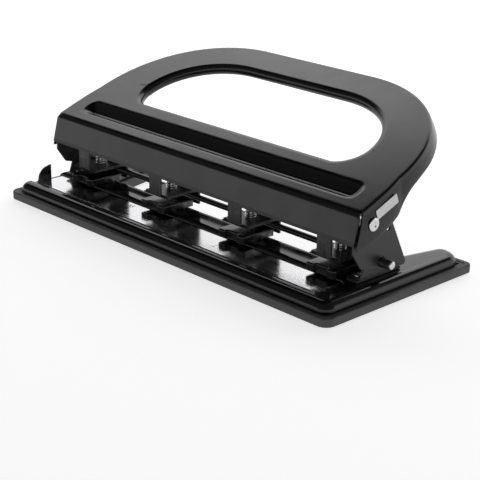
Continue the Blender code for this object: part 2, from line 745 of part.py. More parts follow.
def build_label(parts):
    """Blank white sticker on the right-hand side flange."""
    corners = [(52.2, 54.4, 0.4), (70.4, 61.6, 0.4), (69.0, 67.3, 0.4), (50.8, 60.0, 0.4)]
    face = HANDLE_HALF + GAP
    label = slab("side_label", [rounded(corners, 2)], face, face + 0.25, parts, facing="zxy")
    slope = (corners[1][1] - corners[0][1]) / (corners[1][0] - corners[0][0])
    for vertex in label.data.vertices:
        rise = vertex.co.z - corners[0][1] * MM - (vertex.co.y - corners[0][0] * MM) * slope
        vertex.co.x -= LABEL_LEAN * rise
    return label


# --- assembly ----------------------------------------------------------------------------------------
def build():
    clear_scene()
    parts = collection("hole_punch")
    cutters = collection("cutters")
    root = bpy.data.objects.new("punch_root", None)
    parts.objects.link(root)
    root.location = (0.0, -DEPTH_CENTRE * MM, 0.0)
    pivot = (0.0, PIVOT_Y, PIVOT_Z)

    enamel = (0.012, 0.012, 0.014)
    finish(build_tray(parts, cutters), material("tray_plastic", (0.075, 0.075, 0.08), 0.55, 0.0), root)
    for pad in build_pads(parts):
        finish(pad, material(pad.name, (0.02, 0.02, 0.02), 0.9, 0.0), root)
    finish(build_plate(parts, cutters), material("plate_enamel", enamel, 0.12, 0.0), root)
    finish(build_ruler(parts, cutters), material("ruler_steel", (0.72, 0.72, 0.74), 0.12, 1.0), root)
    finish(build_rod(parts), material("rod_black", (0.02, 0.02, 0.022), 0.35, 0.0), root)
    for number, x in enumerate(PUNCH_X, start=1):
        finish(build_die_block(number, x, parts), material(f"die_{number}", (0.03, 0.03, 0.032), 0.3, 0.2), root)
        finish(build_head_frame(number, x, parts, cutters),
               material(f"frame_{number}", (0.06, 0.06, 0.062), 0.35, 0.3), root)
        finish(build_pin(number, x, parts), material(f"pin_{number}", (0.6, 0.6, 0.62), 0.2, 1.0), root)
        finish(build_collar(number, x, parts), material(f"collar_{number}", (0.5, 0.5, 0.52), 0.3, 1.0), root)
        finish(build_spring(number, x, parts), material(f"spring_{number}", (0.7, 0.7, 0.72), 0.2, 1.0), root)
    for side, word in ((-1, "left"), (1, "right")):
        black = material(f"{word}_bracket_enamel", (0.05, 0.05, 0.055), 0.3, 0.0)
        finish(build_bracket(side, word, parts), black, root)
        finish(build_foot(side, word, parts, cutters), material(f"{word}_foot_enamel", enamel, 0.3, 0.0), root)
        for number, y in enumerate(SCREW_Y, start=1):
            screw = build_screw(side, word, number, y, parts)
            finish(screw, material(screw.name, (0.6, 0.6, 0.62), 0.25, 1.0), root)
        rivet = build_rivet(side, word, parts)
        finish(rivet, material(rivet.name, (0.75, 0.75, 0.77), 0.2, 1.0), root)
    finish(build_press_bar(parts), material("bar_steel", (0.2, 0.2, 0.21), 0.35, 1.0), root)
    handle = finish(build_handle(parts, cutters), material("handle_enamel", enamel, 0.15, 0.0), root)
    rib = finish(build_rib(parts), material("rib_enamel", enamel, 0.35, 0.0), root)
    label = finish(build_label(parts), material("label_white", (0.85, 0.85, 0.86), 0.5, 0.0), root)
    for piece in (handle, rib, label):
        move_origin(piece, pivot)
    grip, cap = build_lock(parts)
    finish(grip, material("grip_black", (0.02, 0.02, 0.02), 0.5, 0.0), root)
    finish(cap, material("pin_cap_steel", (0.75, 0.75, 0.77), 0.2, 1.0), root)
    for cutter in cutters.objects:
        cutter.parent = root
    bpy.context.view_layer.update()


build()
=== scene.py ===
import math

import bmesh
import bpy
from mathutils import Matrix, Vector
from mathutils.geometry import tessellate_polygon


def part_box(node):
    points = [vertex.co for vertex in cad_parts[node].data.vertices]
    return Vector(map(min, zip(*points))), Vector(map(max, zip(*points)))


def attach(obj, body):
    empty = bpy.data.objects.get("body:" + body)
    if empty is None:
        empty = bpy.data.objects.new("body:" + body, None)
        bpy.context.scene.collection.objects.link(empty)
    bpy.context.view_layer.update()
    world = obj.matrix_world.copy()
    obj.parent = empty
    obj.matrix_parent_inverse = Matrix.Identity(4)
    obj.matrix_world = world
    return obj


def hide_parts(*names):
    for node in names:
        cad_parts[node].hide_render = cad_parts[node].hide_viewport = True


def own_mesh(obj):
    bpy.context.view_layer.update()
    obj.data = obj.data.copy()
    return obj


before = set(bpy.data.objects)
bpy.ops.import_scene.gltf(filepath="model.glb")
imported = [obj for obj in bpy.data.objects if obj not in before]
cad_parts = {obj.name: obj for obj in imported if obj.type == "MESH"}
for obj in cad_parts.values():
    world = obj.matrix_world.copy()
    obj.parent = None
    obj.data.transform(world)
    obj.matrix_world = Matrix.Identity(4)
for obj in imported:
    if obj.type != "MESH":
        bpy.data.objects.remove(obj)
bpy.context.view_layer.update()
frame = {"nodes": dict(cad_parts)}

bl_info = {
    "name": "Four Hole Desk Punch",
    "version": (1, 0, 0),
    "blender": (4, 5, 0),
    "location": "3D View > Sidebar > Desk Punch",
    "description": "Builds a four-hole desk punch piece by piece round its packed CAD frame",
    "category": "Object",
}

MM = 0.001
QUARTER = math.pi / 2
FRONT_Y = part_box("chip_tray")[0].y      # the tray's front edge; bench depths count back from it
CLEARANCE = 0.3                         # air between pieces that move past each other
TINY = 1e-6                             # lengths below this count as nothing
WELD = 0.000002                         # points closer than this, in metres, become one
SHARPEST = 0.4                          # limit on how far an outline's sharp corner moves when drawn in
SMOOTH_ANGLE = 35.0                     # degrees up to which faces shade as one surface


# --- places read from the frame ----------------------------------------------------------------------
def bench_box(node):
    """Lowest and highest corner of a CAD node in bench millimetres."""
    low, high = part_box(node)
    shift = Vector((0.0, FRONT_Y, 0.0))
    return (low - shift) / MM, (high - shift) / MM


def middle_of(node):
    """Centre of a CAD node in bench millimetres."""
    low, high = bench_box(node)
    return (low + high) / 2


def bench(x, y, z):
    """A bench point in millimetres, as a point of the frame in metres."""
    return Vector((x * MM, y * MM + FRONT_Y, z * MM))


TRAY_LOW, TRAY_HIGH = bench_box("chip_tray")
PLATE_LOW, PLATE_HIGH = bench_box("base_plate")
RULER_LOW, RULER_HIGH = bench_box("ruler")
TRAY_HALF = TRAY_HIGH.x
TRAY_DEPTH = TRAY_HIGH.y
PLATE_INSET = PLATE_LOW.y
PLATE_TOP = PLATE_HIGH.z
HEADS = (1, 2, 3, 4)
SIDES = ((-1, "left"), (1, "right"))
PUNCH_X = [middle_of(f"punch_pin_{number}").x for number in HEADS]
PUNCH_Y = middle_of("punch_pin_1").y
PIVOT_Y, PIVOT_Z = middle_of("right_pivot_rivet").yz
ROD_Y, ROD_Z = middle_of("paper_stop_rod").yz
LOCK_Y, LOCK_Z = middle_of("lock_grip").yz


# --- outlines ----------------------------------------------------------------------------------------
def rounded(corners, steps=8):
    """Turn (x, y, radius) corners into points, each corner an arc of that radius."""
    points = []
    count = len(corners)
    for index, (x, y, radius) in enumerate(corners):
        if radius <= 0:
            points.append((x, y))
            continue
        here = Vector((x, y))
        before = Vector(corners[index - 1][:2]) - here
        after = Vector(corners[(index + 1) % count][:2]) - here
        half = before.angle(after) / 2
        reach = radius / math.tan(half)
        middle = (before.normalized() + after.normalized()).normalized()
        centre = here + middle * (radius / math.sin(half))
        start = here + before.normalized() * reach - centre
        sweep = start.angle_signed(here + after.normalized() * reach - centre)
        for step in range(steps + 1):
            turned = Matrix.Rotation(-sweep * step / steps, 2) @ start
            points.append(tuple(centre + turned))
    return points


def mirrored(half):
    """Close an outline from its right half, given from the front middle to the rear middle."""
    return half + [(-x, y, radius) for x, y, radius in reversed(half)]


def quarter_arc(steps):
    """Pairs (sine, 1 - cosine) along a quarter turn, for edges that are rounded over."""
    angles = [QUARTER * step / steps for step in range(steps + 1)]
    return [(math.sin(angle), 1 - math.cos(angle)) for angle in angles]


def dome(start, end, foot, rise):
    """Profile of a dome that falls from its crown, at radius start, to its foot at radius end."""
    return [(start + (end - start) * sine, foot + rise * (1 - drop)) for sine, drop in quarter_arc(8)[1:]]


def ring(radius, sides, centre=(0.0, 0.0)):
    """Points round a circle."""
    return [(centre[0] + radius * math.cos(math.tau * k / sides),
             centre[1] + radius * math.sin(math.tau * k / sides)) for k in range(sides)]


def signed_area(points):
    """Area of an outline, positive where it runs anticlockwise."""
    return sum(a[0] * b[1] - b[0] * a[1] for a, b in zip(points, points[1:] + points[:1])) / 2


def drawn_in(points, distance):
    """Move an outline inwards by a distance, or outwards where it is negative."""
    turn = 1.0 if signed_area(points) > 0 else -1.0
    count = len(points)
    moved = []
    for index in range(count):
        here = Vector(points[index])
        before = here - Vector(points[index - 1])
        after = Vector(points[(index + 1) % count]) - here
        if before.length < TINY or after.length < TINY:
            moved.append(tuple(here))
            continue
        first = Vector((-before.y, before.x)).normalized()
        second = Vector((-after.y, after.x)).normalized()
        middle = first + second
        if middle.length < TINY:
            middle = first
        middle.normalize()
        stretch = 1.0 / max(middle.dot(first), SHARPEST)
        moved.append(tuple(here + middle * (turn * distance * stretch)))
    return moved


# --- makers ------------------------------------------------------------------------------------------
def piece_from(name, points, faces):
    """Make an object from bench points and faces, with its faces turned outwards."""
    mesh = bpy.data.meshes.new(name)
    mesh.from_pydata([bench(*point) for point in points], [], faces)
    welded(mesh)
    return piece_of(name, mesh)


def welded(mesh):
    """Join points that lie on each other and turn the faces outwards."""
    work = bmesh.new()
    work.from_mesh(mesh)
    bmesh.ops.remove_doubles(work, verts=work.verts, dist=WELD)
    bmesh.ops.recalc_face_normals(work, faces=work.faces)
    work.to_mesh(mesh)
    work.free()


def piece_of(name, mesh):
    """Put a mesh in the scene as a named piece."""
    mesh.name = name
    mesh.shade_smooth()
    mesh.set_sharp_from_angle(angle=math.radians(SMOOTH_ANGLE))
    piece = bpy.data.objects.new(name, mesh)
    bpy.context.scene.collection.objects.link(piece)
    return piece


def wall(first, second):
    """Faces between two rings of corner numbers."""
    count = len(first)
    return [(first[k], first[(k + 1) % count], second[(k + 1) % count], second[k]) for k in range(count)]


def stacked(name, levels, facing="xyz"):
    """Join outlines that lie above each other into a closed body.

    Each level is (height, outlines); every level has the same outlines with the same number of points,
    the first of them outer and the others holes.
    """
    points = []
    faces = []
    counts = [len(outline) for outline in levels[0][1]]
    size = sum(counts)
    for height, outlines in levels:
        for outline in outlines:
            points += [(x, y, height) for x, y in outline]
    for level in range(len(levels) - 1):
        start = level * size
        for count in counts:
            here = range(start, start + count)
            faces += wall(here, [corner + size for corner in here])
            start += count
    for level in (0, len(levels) - 1):
        flat = [[Vector((x, y, 0.0)) for x, y in outline] for outline in levels[level][1]]
        for triangle in tessellate_polygon(flat):
            faces.append(tuple(level * size + corner for corner in triangle))
    order = ["xyz".index(letter) for letter in facing]
    points = [tuple(point[k] for k in order) for point in points]
    return piece_from(name, points, faces)


def plate(name, outlines, low, high, edge=0.3, steps=3, facing="xyz"):
    """Flat plate between two heights with its edges rounded; outlines after the first are holes."""
    rounds = [(edge * (1 - sine), edge * drop) for sine, drop in quarter_arc(steps)]
    levels = [(low + rise, inset) for rise, inset in reversed(rounds)]
    levels += [(high - rise, inset) for rise, inset in rounds]
    if edge <= 0:
        levels = [(low, 0.0), (high, 0.0)]
    made = []
    for height, inset in levels:
        rings = [drawn_in(outlines[0], inset)]
        rings += [drawn_in(hole, -inset) for hole in outlines[1:]]
        made.append((height, rings))
    return stacked(name, made, facing)


def lathed(name, profile, centre, axis="z", sides=40):
    """Turn (radius, height) points about an axis through a bench point."""
    points = []
    faces = []
    rings = []
    for radius, height in profile:
        if radius <= 0:
            rings.append([len(points)])
            points.append((0.0, 0.0, height))
            continue
        rings.append(list(range(len(points), len(points) + sides)))
        points += [(x, y, height) for x, y in ring(radius, sides)]
    for first, second in zip(rings, rings[1:]):
        for k in range(sides):
            after = (k + 1) % sides
            corners = [first[k % len(first)], first[after % len(first)],
                       second[after % len(second)], second[k % len(second)]]
            faces.append(tuple(dict.fromkeys(corners)))
    if len(rings[0]) > 1:
        faces += wall(rings[-1], rings[0])
    if axis == "x":
        points = [(z, x, y) for x, y, z in points]
    if axis == "-x":
        points = [(-z, x, y) for x, y, z in points]
    points = [(x + centre[0], y + centre[1], z + centre[2]) for x, y, z in points]
    return piece_from(name, points, faces)


def tube(name, path, radius, sides):
    """Round wire along a list of bench points, with closed ends."""
    points = []
    faces = []
    line = [Vector(point) for point in path]
    count = len(line)
    side = None
    for index, here in enumerate(line):
        ahead = line[min(index + 1, count - 1)] - line[max(index - 1, 0)]
        ahead.normalize()
        if side is None:
            side = ahead.orthogonal().normalized()
        side = (side - ahead * side.dot(ahead)).normalized()
        up = ahead.cross(side)
        points += [tuple(here + side * x + up * y) for x, y in ring(radius, sides)]
    for start in range(0, (count - 1) * sides, sides):
        here = range(start, start + sides)
        faces += wall(here, [corner + sides for corner in here])
    faces.append(tuple(range(sides)))
    faces.append(tuple((count - 1) * sides + k for k in range(sides)))
    return piece_from(name, points, faces)


def settled(piece, smooth=SMOOTH_ANGLE):
    """Replace a piece's mesh with what its modifiers make of it."""
    bpy.context.view_layer.update()
    graph = bpy.context.evaluated_depsgraph_get()
    mesh = bpy.data.meshes.new_from_object(piece.evaluated_get(graph))
    piece.modifiers.clear()
    piece.data = mesh
    mesh.shade_smooth()
    mesh.set_sharp_from_angle(angle=math.radians(smooth))


def carve(piece, tools, operation="DIFFERENCE", smooth=SMOOTH_ANGLE):
    """Cut a piece with tools, or join them to it, and remove the tools."""
    for tool in tools:
        change = piece.modifiers.new("Cut", "BOOLEAN")
        change.operation = operation
        change.solver = "EXACT"
        change.object = tool
    settled(piece, smooth)
    for tool in tools:
        bpy.data.objects.remove(tool, do_unlink=True)


def even_normals(piece):
    """Keep flat faces flat where they meet a rounded edge."""
    weighted = piece.modifiers.new("Flat faces", "WEIGHTED_NORMAL")
    weighted.keep_sharp = True
    weighted.weight = 80


def copy_along(piece, name, x_shift):
    """Copy a piece that was made at X = 0 to another place in the row."""
    mesh = piece.data.copy()
    mesh.transform(Matrix.Translation((x_shift * MM, 0.0, 0.0)))
    made = bpy.data.objects.new(name, mesh)
    mesh.name = name
    bpy.context.scene.collection.objects.link(made)
    for modifier in piece.modifiers:
        fresh = made.modifiers.new(modifier.name, modifier.type)
        fresh.keep_sharp = modifier.keep_sharp
        fresh.weight = modifier.weight
    return made


def fitted(piece, body, node, finish):
    """Hang a piece on its body in the place of a CAD node, with a finish."""
    piece.data.materials.clear()
    piece.data.materials.append(finish)
    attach(piece, body)
    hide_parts(node)


# --- shader groups -----------------------------------------------------------------------------------
NOISE_ROUGHNESS = 0.55
DUST_COLOUR = (0.32, 0.31, 0.30)
RUBBED_ROUGHNESS = 0.15     # added where handling has rubbed an edge
DUST_ROUGHNESS = 0.3        # added where dust lies
RELIEF_DEPTH = 0.0004       # metres


def new_group(name, inputs, outputs):
    """Start a shader group with named inputs (name, kind, default) and outputs (name, kind)."""
    group = bpy.data.node_groups.new(name, "ShaderNodeTree")
    for label, kind, default in inputs:
        socket = group.interface.new_socket(label, in_out="INPUT", socket_type=kind)
        socket.default_value = default
    for label, kind in outputs:
        group.interface.new_socket(label, in_out="OUTPUT", socket_type=kind)
    return group, group.nodes.new("NodeGroupInput"), group.nodes.new("NodeGroupOutput")


def node_in(tree, kind, **values):
    """Add a node; keywords set its properties."""
    node = tree.nodes.new(kind)
    for label, value in values.items():
        setattr(node, label, value)
    return node


def maths(tree, operation, first, second):
    """Math node with sockets or numbers as its two values; returns its output."""
    node = node_in(tree, "ShaderNodeMath", operation=operation)
    for socket, value in zip(node.inputs, (first, second)):
        if isinstance(value, (int, float)):
            socket.default_value = value
        else:
            tree.links.new(value, socket)
    return node.outputs[0]


def remap(tree, value, low, high, to_low, to_high):
    """Smoothly map a value from one range to another; returns the output."""
    node = node_in(tree, "ShaderNodeMapRange", interpolation_type="SMOOTHSTEP")
    for label, number in (("From Min", low), ("From Max", high), ("To Min", to_low), ("To Max", to_high)):
        node.inputs[label].default_value = number
    tree.links.new(value, node.inputs["Value"])
    return node.outputs["Result"]


def noise_of(tree, vector, scale, detail=4.0):
    """Noise at a scale given as a number or a socket; returns its output."""
    node = node_in(tree, "ShaderNodeTexNoise")
    node.inputs["Detail"].default_value = detail
    node.inputs["Roughness"].default_value = NOISE_ROUGHNESS
    if isinstance(scale, (int, float)):
        node.inputs["Scale"].default_value = scale
    else:
        tree.links.new(scale, node.inputs["Scale"])
    tree.links.new(vector, node.inputs["Vector"])
    return node.outputs["Fac"]


def grain_group():
    """Even grain in all directions: paint ripple, cast skin or moulded texture."""
    group, given, out = new_group("Grain", [("Scale", "NodeSocketFloat", 900.0)],
                                  [("Height", "NodeSocketFloat"), ("Patches", "NodeSocketFloat")])
    coords = node_in(group, "ShaderNodeTexCoord").outputs["Object"]
    fine = noise_of(group, coords, given.outputs["Scale"], 2.0)
    broad_scale = maths(group, "MULTIPLY", given.outputs["Scale"], 0.06)
    broad = noise_of(group, coords, broad_scale, 4.0)
    group.links.new(fine, out.inputs["Height"])
    group.links.new(remap(group, broad, 0.35, 0.65, 0.0, 1.0), out.inputs["Patches"])
    return group


def lines_group():
    """Fine lines drawn along one direction, as rolling or brushing leaves them."""
    group, given, out = new_group("Drawn lines", [("Stretch", "NodeSocketVector", (40.0, 4000.0, 4000.0))],
                                  [("Height", "NodeSocketFloat"), ("Streaks", "NodeSocketFloat")])
    coords = node_in(group, "ShaderNodeTexCoord").outputs["Object"]
    scaled = node_in(group, "ShaderNodeVectorMath", operation="MULTIPLY")
    group.links.new(coords, scaled.inputs[0])
    group.links.new(given.outputs["Stretch"], scaled.inputs[1])
    fine = noise_of(group, scaled.outputs["Vector"], 1.0, 2.0)
    wide = noise_of(group, scaled.outputs["Vector"], 0.22, 3.0)
    group.links.new(fine, out.inputs["Height"])
    group.links.new(remap(group, wide, 0.35, 0.65, 0.0, 1.0), out.inputs["Streaks"])
    return group


def wear_group():
    """Mask of edges where handling rubs the finish thin."""
    group, given, out = new_group("Edge wear", [("Amount", "NodeSocketFloat", 0.5)],
                                  [("Mask", "NodeSocketFloat")])
    pointed = node_in(group, "ShaderNodeNewGeometry").outputs["Pointiness"]
    edge = remap(group, pointed, 0.53, 0.62, 0.0, 1.0)
    coords = node_in(group, "ShaderNodeTexCoord").outputs["Object"]
    broken = remap(group, noise_of(group, coords, 220.0, 5.0), 0.45, 0.7, 0.0, 1.0)
    mask = maths(group, "MULTIPLY", maths(group, "MULTIPLY", edge, broken), given.outputs["Amount"])
    group.links.new(mask, out.inputs["Mask"])
    return group


def dust_group():
    """Mask of light dust that settles on faces that look up."""
    group, given, out = new_group("Settled dust", [("Amount", "NodeSocketFloat", 0.3)],
                                  [("Mask", "NodeSocketFloat")])
    normal = node_in(group, "ShaderNodeNewGeometry").outputs["Normal"]
    apart = node_in(group, "ShaderNodeSeparateXYZ")
    group.links.new(normal, apart.inputs[0])
    upward = remap(group, apart.outputs["Z"], 0.3, 0.95, 0.0, 1.0)
    coords = node_in(group, "ShaderNodeTexCoord").outputs["Object"]
    cloud = remap(group, noise_of(group, coords, 45.0, 6.0), 0.42, 0.75, 0.0, 1.0)
    speck = remap(group, noise_of(group, coords, 1500.0, 1.0), 0.66, 0.74, 0.0, 1.0)
    both = maths(group, "ADD", maths(group, "MULTIPLY", cloud, 0.5), speck)
    mask = maths(group, "MULTIPLY", maths(group, "MULTIPLY", upward, both), given.outputs["Amount"])
    group.links.new(mask, out.inputs["Mask"])
    return group


GROUPS = {}


def group_node(tree, name, **values):
    """Place one of the shared groups in a material with its own values."""
    makers = {"Grain": grain_group, "Drawn lines": lines_group, "Edge wear": wear_group,
              "Settled dust": dust_group}
    if name not in GROUPS:
        GROUPS[name] = makers[name]()
    node = tree.nodes.new("ShaderNodeGroup")
    node.node_tree = GROUPS[name]
    for label, value in values.items():
        node.inputs[label].default_value = value
    return node


def blend_colour(tree, factor, first, second):
    """Mix two colours, either given as sockets or as values; returns the output."""
    node = node_in(tree, "ShaderNodeMix", data_type="RGBA")
    tree.links.new(factor, node.inputs["Factor"])
    for label, value in (("A", first), ("B", second)):
        socket = next(s for s in node.inputs if s.name == label and s.type == "RGBA")
        if isinstance(value, (tuple, list)):
            socket.default_value = (*value[:3], 1.0)
        else:
            tree.links.new(value, socket)
    return next(s for s in node.outputs if s.type == "RGBA")


def finish_of(name, colour, variation=0.12, rough=0.3, swing=0.06, metallic=0.0, grain=900.0, bump=0.05,
              stretch=None, wear=None, dust=0.0, coat=0.0):
    """Build a finish: base colour with patches, roughness that varies, fine bump, worn edges and dust.

    wear is (colour, amount); stretch sends the bump through drawn lines instead of even grain.
    """
    found = bpy.data.materials.get(name)
    if found:
        return found
    made = bpy.data.materials.new(name)
    made.use_nodes = True
    tree = made.node_tree
    shader = tree.nodes["Principled BSDF"]
    shader.inputs["Metallic"].default_value = metallic
    shader.inputs["IOR"].default_value = 1.5
    shader.inputs["Coat Weight"].default_value = coat
    shader.inputs["Coat Roughness"].default_value = 0.08
    if stretch:
        texture = group_node(tree, "Drawn lines", Stretch=stretch)
        patches = texture.outputs["Streaks"]
    else:
        texture = group_node(tree, "Grain", Scale=grain)
        patches = texture.outputs["Patches"]
    dark = tuple(channel * (1 - variation) for channel in colour[:3])
    light = tuple(min(channel * (1 + variation), 1.0) for channel in colour[:3])
    tint = blend_colour(tree, patches, dark, light)
    roughness = remap(tree, patches, 0.0, 1.0, rough - swing, rough + swing)
    if wear:
        rubbed = group_node(tree, "Edge wear", Amount=wear[1]).outputs["Mask"]
        tint = blend_colour(tree, rubbed, tint, wear[0])
        roughness = maths(tree, "ADD", roughness, maths(tree, "MULTIPLY", rubbed, RUBBED_ROUGHNESS))
    if dust > 0:
        film = group_node(tree, "Settled dust", Amount=dust).outputs["Mask"]
        tint = blend_colour(tree, film, tint, DUST_COLOUR)
        roughness = maths(tree, "ADD", roughness, maths(tree, "MULTIPLY", film, DUST_ROUGHNESS))
    tree.links.new(tint, shader.inputs["Base Color"])
    tree.links.new(roughness, shader.inputs["Roughness"])
    relief = node_in(tree, "ShaderNodeBump")
    relief.inputs["Strength"].default_value = bump
    relief.inputs["Distance"].default_value = RELIEF_DEPTH
    tree.links.new(texture.outputs["Height"], relief.inputs["Height"])
    tree.links.new(relief.outputs["Normal"], shader.inputs["Normal"])
    return made


def colours():
    """The maker's colours for the finishes."""
    return bpy.context.scene.punch_colours


def sizes():
    """The maker's sizes."""
    return bpy.context.scene.punch_sizes


def gloss_enamel():
    return finish_of("gloss black enamel", tuple(colours().enamel), 0.1, 0.13, 0.03, grain=700.0, bump=0.02,
                     wear=((0.05, 0.05, 0.052), 0.25), dust=0.012)


def satin_enamel():
    return finish_of("satin black enamel", tuple(colours().satin), 0.12, 0.36, 0.05, grain=1600.0,
                     bump=0.12, wear=((0.10, 0.10, 0.10), 0.3), dust=0.02)


def bright_zinc():
    return finish_of("bright zinc plate", tuple(colours().zinc), 0.08, 0.2, 0.06, 1.0, grain=1200.0,
                     bump=0.06, wear=((0.9, 0.9, 0.9), 0.3))


# --- the base ----------------------------------------------------------------------------------------
NOTCH_TIP = 131.4           # where the feet's inner edges meet the tray's rear line
NOTCH_ROOT = 114.6          # where they meet the bar's rear line
BAR_REAR = 65.0 + PLATE_INSET
CHANNEL_FRONT = 15.4
CHANNEL_REAR = 42.6
CHANNEL_FLOOR = 10.5
CHANNEL_END = 136.5
CHANNEL_CORNER = 5.0
PLATE_GAUGE = 1.4
CHIP_HOLE = 4.0             # radius of the holes that the chips fall through


def base_outline(inset, front, outer, inner, notch):
    """Outline of a bar with two rear feet, drawn in by inset from the tray's edge.

    The last four values are its corner radii at the front, the feet's tips and the notch between them.
    """
    side = TRAY_HALF - inset
    tip = TRAY_DEPTH - inset
    return rounded(mirrored([
        (side, inset, front),
        (side, tip, outer),
        (NOTCH_TIP + inset, tip, inner),
        (NOTCH_ROOT + inset, BAR_REAR - inset, notch),
    ]), 14)


def tray_outline(inset):
    """Outline of the moulded tray, whose corners are nearly sharp."""
    corner = max(5.0 - inset, 1.0)
    return base_outline(inset, max(7.5 - inset, 1.0), corner, corner, 8.0 + inset)


def plate_outline(inset):
    """Outline of the steel plate, whose corners are rounder than the tray's at the feet."""
    return base_outline(PLATE_INSET + inset, 8.0 - inset, 12.0 - inset, 7.5 - inset, 12.0 + inset)


def rounded_over(name, outline_at, low, high, radius):
    """Body of one outline with its top edge rounded over; outline_at(inset) gives the outline."""
    levels = [(low, [outline_at(0.0)])]
    for sine, drop in quarter_arc(10):
        levels.append((high - radius + radius * sine, [outline_at(radius * drop)]))
    return stacked(name, levels)


def channel_outline(grow):
    """Outline of the ruler's channel, which runs out of the plate at its left end."""
    left = -TRAY_HALF - 10.0
    end = CHANNEL_END + grow
    corner = CHANNEL_CORNER + grow
    front = CHANNEL_FRONT - grow
    rear = CHANNEL_REAR + grow
    return rounded([(left, front, 0.0), (end, front, corner), (end, rear, corner), (left, rear, 0.0)], 8)


def channel_tool(name, grow, floor, lip):
    """Shape of the ruler's channel, with its upper edges flared by the lip radius."""
    heights = ((0.0, -0.4), (0.12, -0.12), (0.4, 0.0))
    levels = [(floor + rise, [channel_outline(grow + spread)]) for rise, spread in heights]
    for sine, drop in quarter_arc(8)[1:]:
        levels.append((PLATE_TOP - lip + lip * sine, [channel_outline(grow + lip * drop)]))
    levels.append((PLATE_TOP + 6.0, [channel_outline(grow + lip)]))
    return stacked(name, levels)


def make_base_plate():
    """Pressed plate with a rounded edge, a hollow underside, the ruler's channel and the chip holes."""
    edge = sizes().plate_edge / MM
    lip = sizes().channel_lip / MM
    low = PLATE_LOW.z

    def inner(inset):
        return plate_outline(PLATE_GAUGE + inset)

    base = rounded_over("base_plate_pressed", plate_outline, low, PLATE_TOP, edge)
    hollow = rounded_over("plate_hollow", inner, low - 4.0, PLATE_TOP - PLATE_GAUGE, edge - PLATE_GAUGE)
    skin = channel_tool("channel_skin", PLATE_GAUGE, CHANNEL_FLOOR - PLATE_GAUGE, lip - 0.4)
    carve(hollow, [skin])
    tools = [channel_tool("channel", 0.0, CHANNEL_FLOOR, lip), hollow]
    for x in PUNCH_X:
        tools.append(plate("chip_hole", [ring(CHIP_HOLE, 32, (x, PUNCH_Y))], 0.0, 30.0, 0.0))
    carve(base, tools, smooth=28.0)
    even_normals(base)
    fitted(base, "base", "base_plate", gloss_enamel())


def make_tray():
    """Moulded tray: low wall with a rounded rim, a ledge that the plate sits on and a hollow inside."""
    low = TRAY_LOW.z
    high = TRAY_HIGH.z
    rim = 0.9
    foot = 0.7
    ledge = high - 0.4
    levels = [(low + foot * (1 - sine), foot * drop) for sine, drop in reversed(quarter_arc(5))]
    levels += [(high - rim + rim * sine, rim * drop) for sine, drop in quarter_arc(5)]
    levels += [(high, PLATE_INSET - 0.9), (ledge, PLATE_INSET - 0.5), (ledge, PLATE_INSET + 1.6),
               (low + 2.0, PLATE_INSET + 2.0), (low + 1.6, PLATE_INSET + 2.4)]
    tray = stacked("chip_tray_moulded", [(height, [tray_outline(inset)]) for height, inset in levels])
    even_normals(tray)
    plastic = finish_of("moulded grey plastic", tuple(colours().tray), 0.1, 0.55, 0.05, grain=1500.0,
                        bump=0.35, wear=((0.16, 0.16, 0.16), 0.2), dust=0.05)
    fitted(tray, "tray", "chip_tray", plastic)


def make_pads():
    """Round rubber feet under the tray, each with a shallow recess in its underside."""
    rubber = finish_of("soft rubber", (0.018, 0.018, 0.018), 0.2, 0.8, 0.08, grain=2200.0, bump=0.3, dust=0.1)
    for number in HEADS:
        low, high = bench_box(f"rubber_foot_{number}")
        middle = middle_of(f"rubber_foot_{number}")
        radius = (high.x - low.x) / 2
        profile = [(0.0, high.z), (radius - 0.1, high.z), (radius, high.z - 0.15), (radius, 0.25),
                   (radius - 0.25, 0.0), (radius - 1.6, 0.0), (radius - 1.9, 0.18), (0.0, 0.18)]
        pad = lathed(f"rubber_foot_{number}_turned", profile, (middle.x, middle.y, 0.0))
        fitted(pad, "tray", f"rubber_foot_{number}", rubber)


# --- the ruler ---------------------------------------------------------------------------------------
RULER_MARKS = [("A6", -110.0), ("B6", -84.0), ("A5", -62.0), ("B5", -18.0), ("A4", 36.0)]
RULER_DEPTH = 22.5
RULER_GAUGE = 1.0
RULER_TOP = RULER_LOW.z + RULER_GAUGE
STOP_DEPTH = 12.1           # from the ruler's front edge to the back of its upright stop
TICK_LONG = 2.8             # half lengths and half width of a mark's two strokes
TICK_SHORT = 1.5
TICK_WIDE = 0.2
INK_PROUD = 0.03            # height of the marks above the steel
LETTER_SIZE = 6.0


def make_ruler():
    """Flat steel ruler with an upright quarter-round paper stop folded up at its left end."""
    left, front, low = RULER_LOW
    right = RULER_HIGH.x
    rear = front + RULER_DEPTH
    outline = rounded([(left + 0.6, front, 1.2), (right, front, 2.5), (right, rear, 2.5),
                       (left + 0.6, rear, 1.2)], 6)
    ruler = plate("ruler_blade", [outline], low, RULER_TOP, 0.16, 3)
    size = RULER_HIGH.z - (low + 0.5)
    back = front + STOP_DEPTH
    arc = [(back - size * sine, low + 0.5 + size * (1 - drop)) for sine, drop in quarter_arc(16)]
    fin = [(back, low + 0.2)] + arc + [(arc[-1][0], low + 0.2)]
    stop = plate("stop_fin", [fin], left, left + RULER_GAUGE, 0.12, 2, facing="zxy")
    carve(ruler, [stop], "UNION")
    even_normals(ruler)
    steel = finish_of("polished ruler steel", tuple(colours().ruler), 0.06, 0.13, 0.04, 1.0,
                      stretch=(25.0, 3500.0, 3500.0), bump=0.04)
    fitted(ruler, "paper_guide", "ruler", steel)
    ink = finish_of("filled black marks", (0.02, 0.02, 0.02), 0.2, 0.5, 0.1, grain=2500.0, bump=0.1)
    make_ticks(front, ink)
    for label, x in RULER_MARKS:
        make_letters(label, x, front, ink)


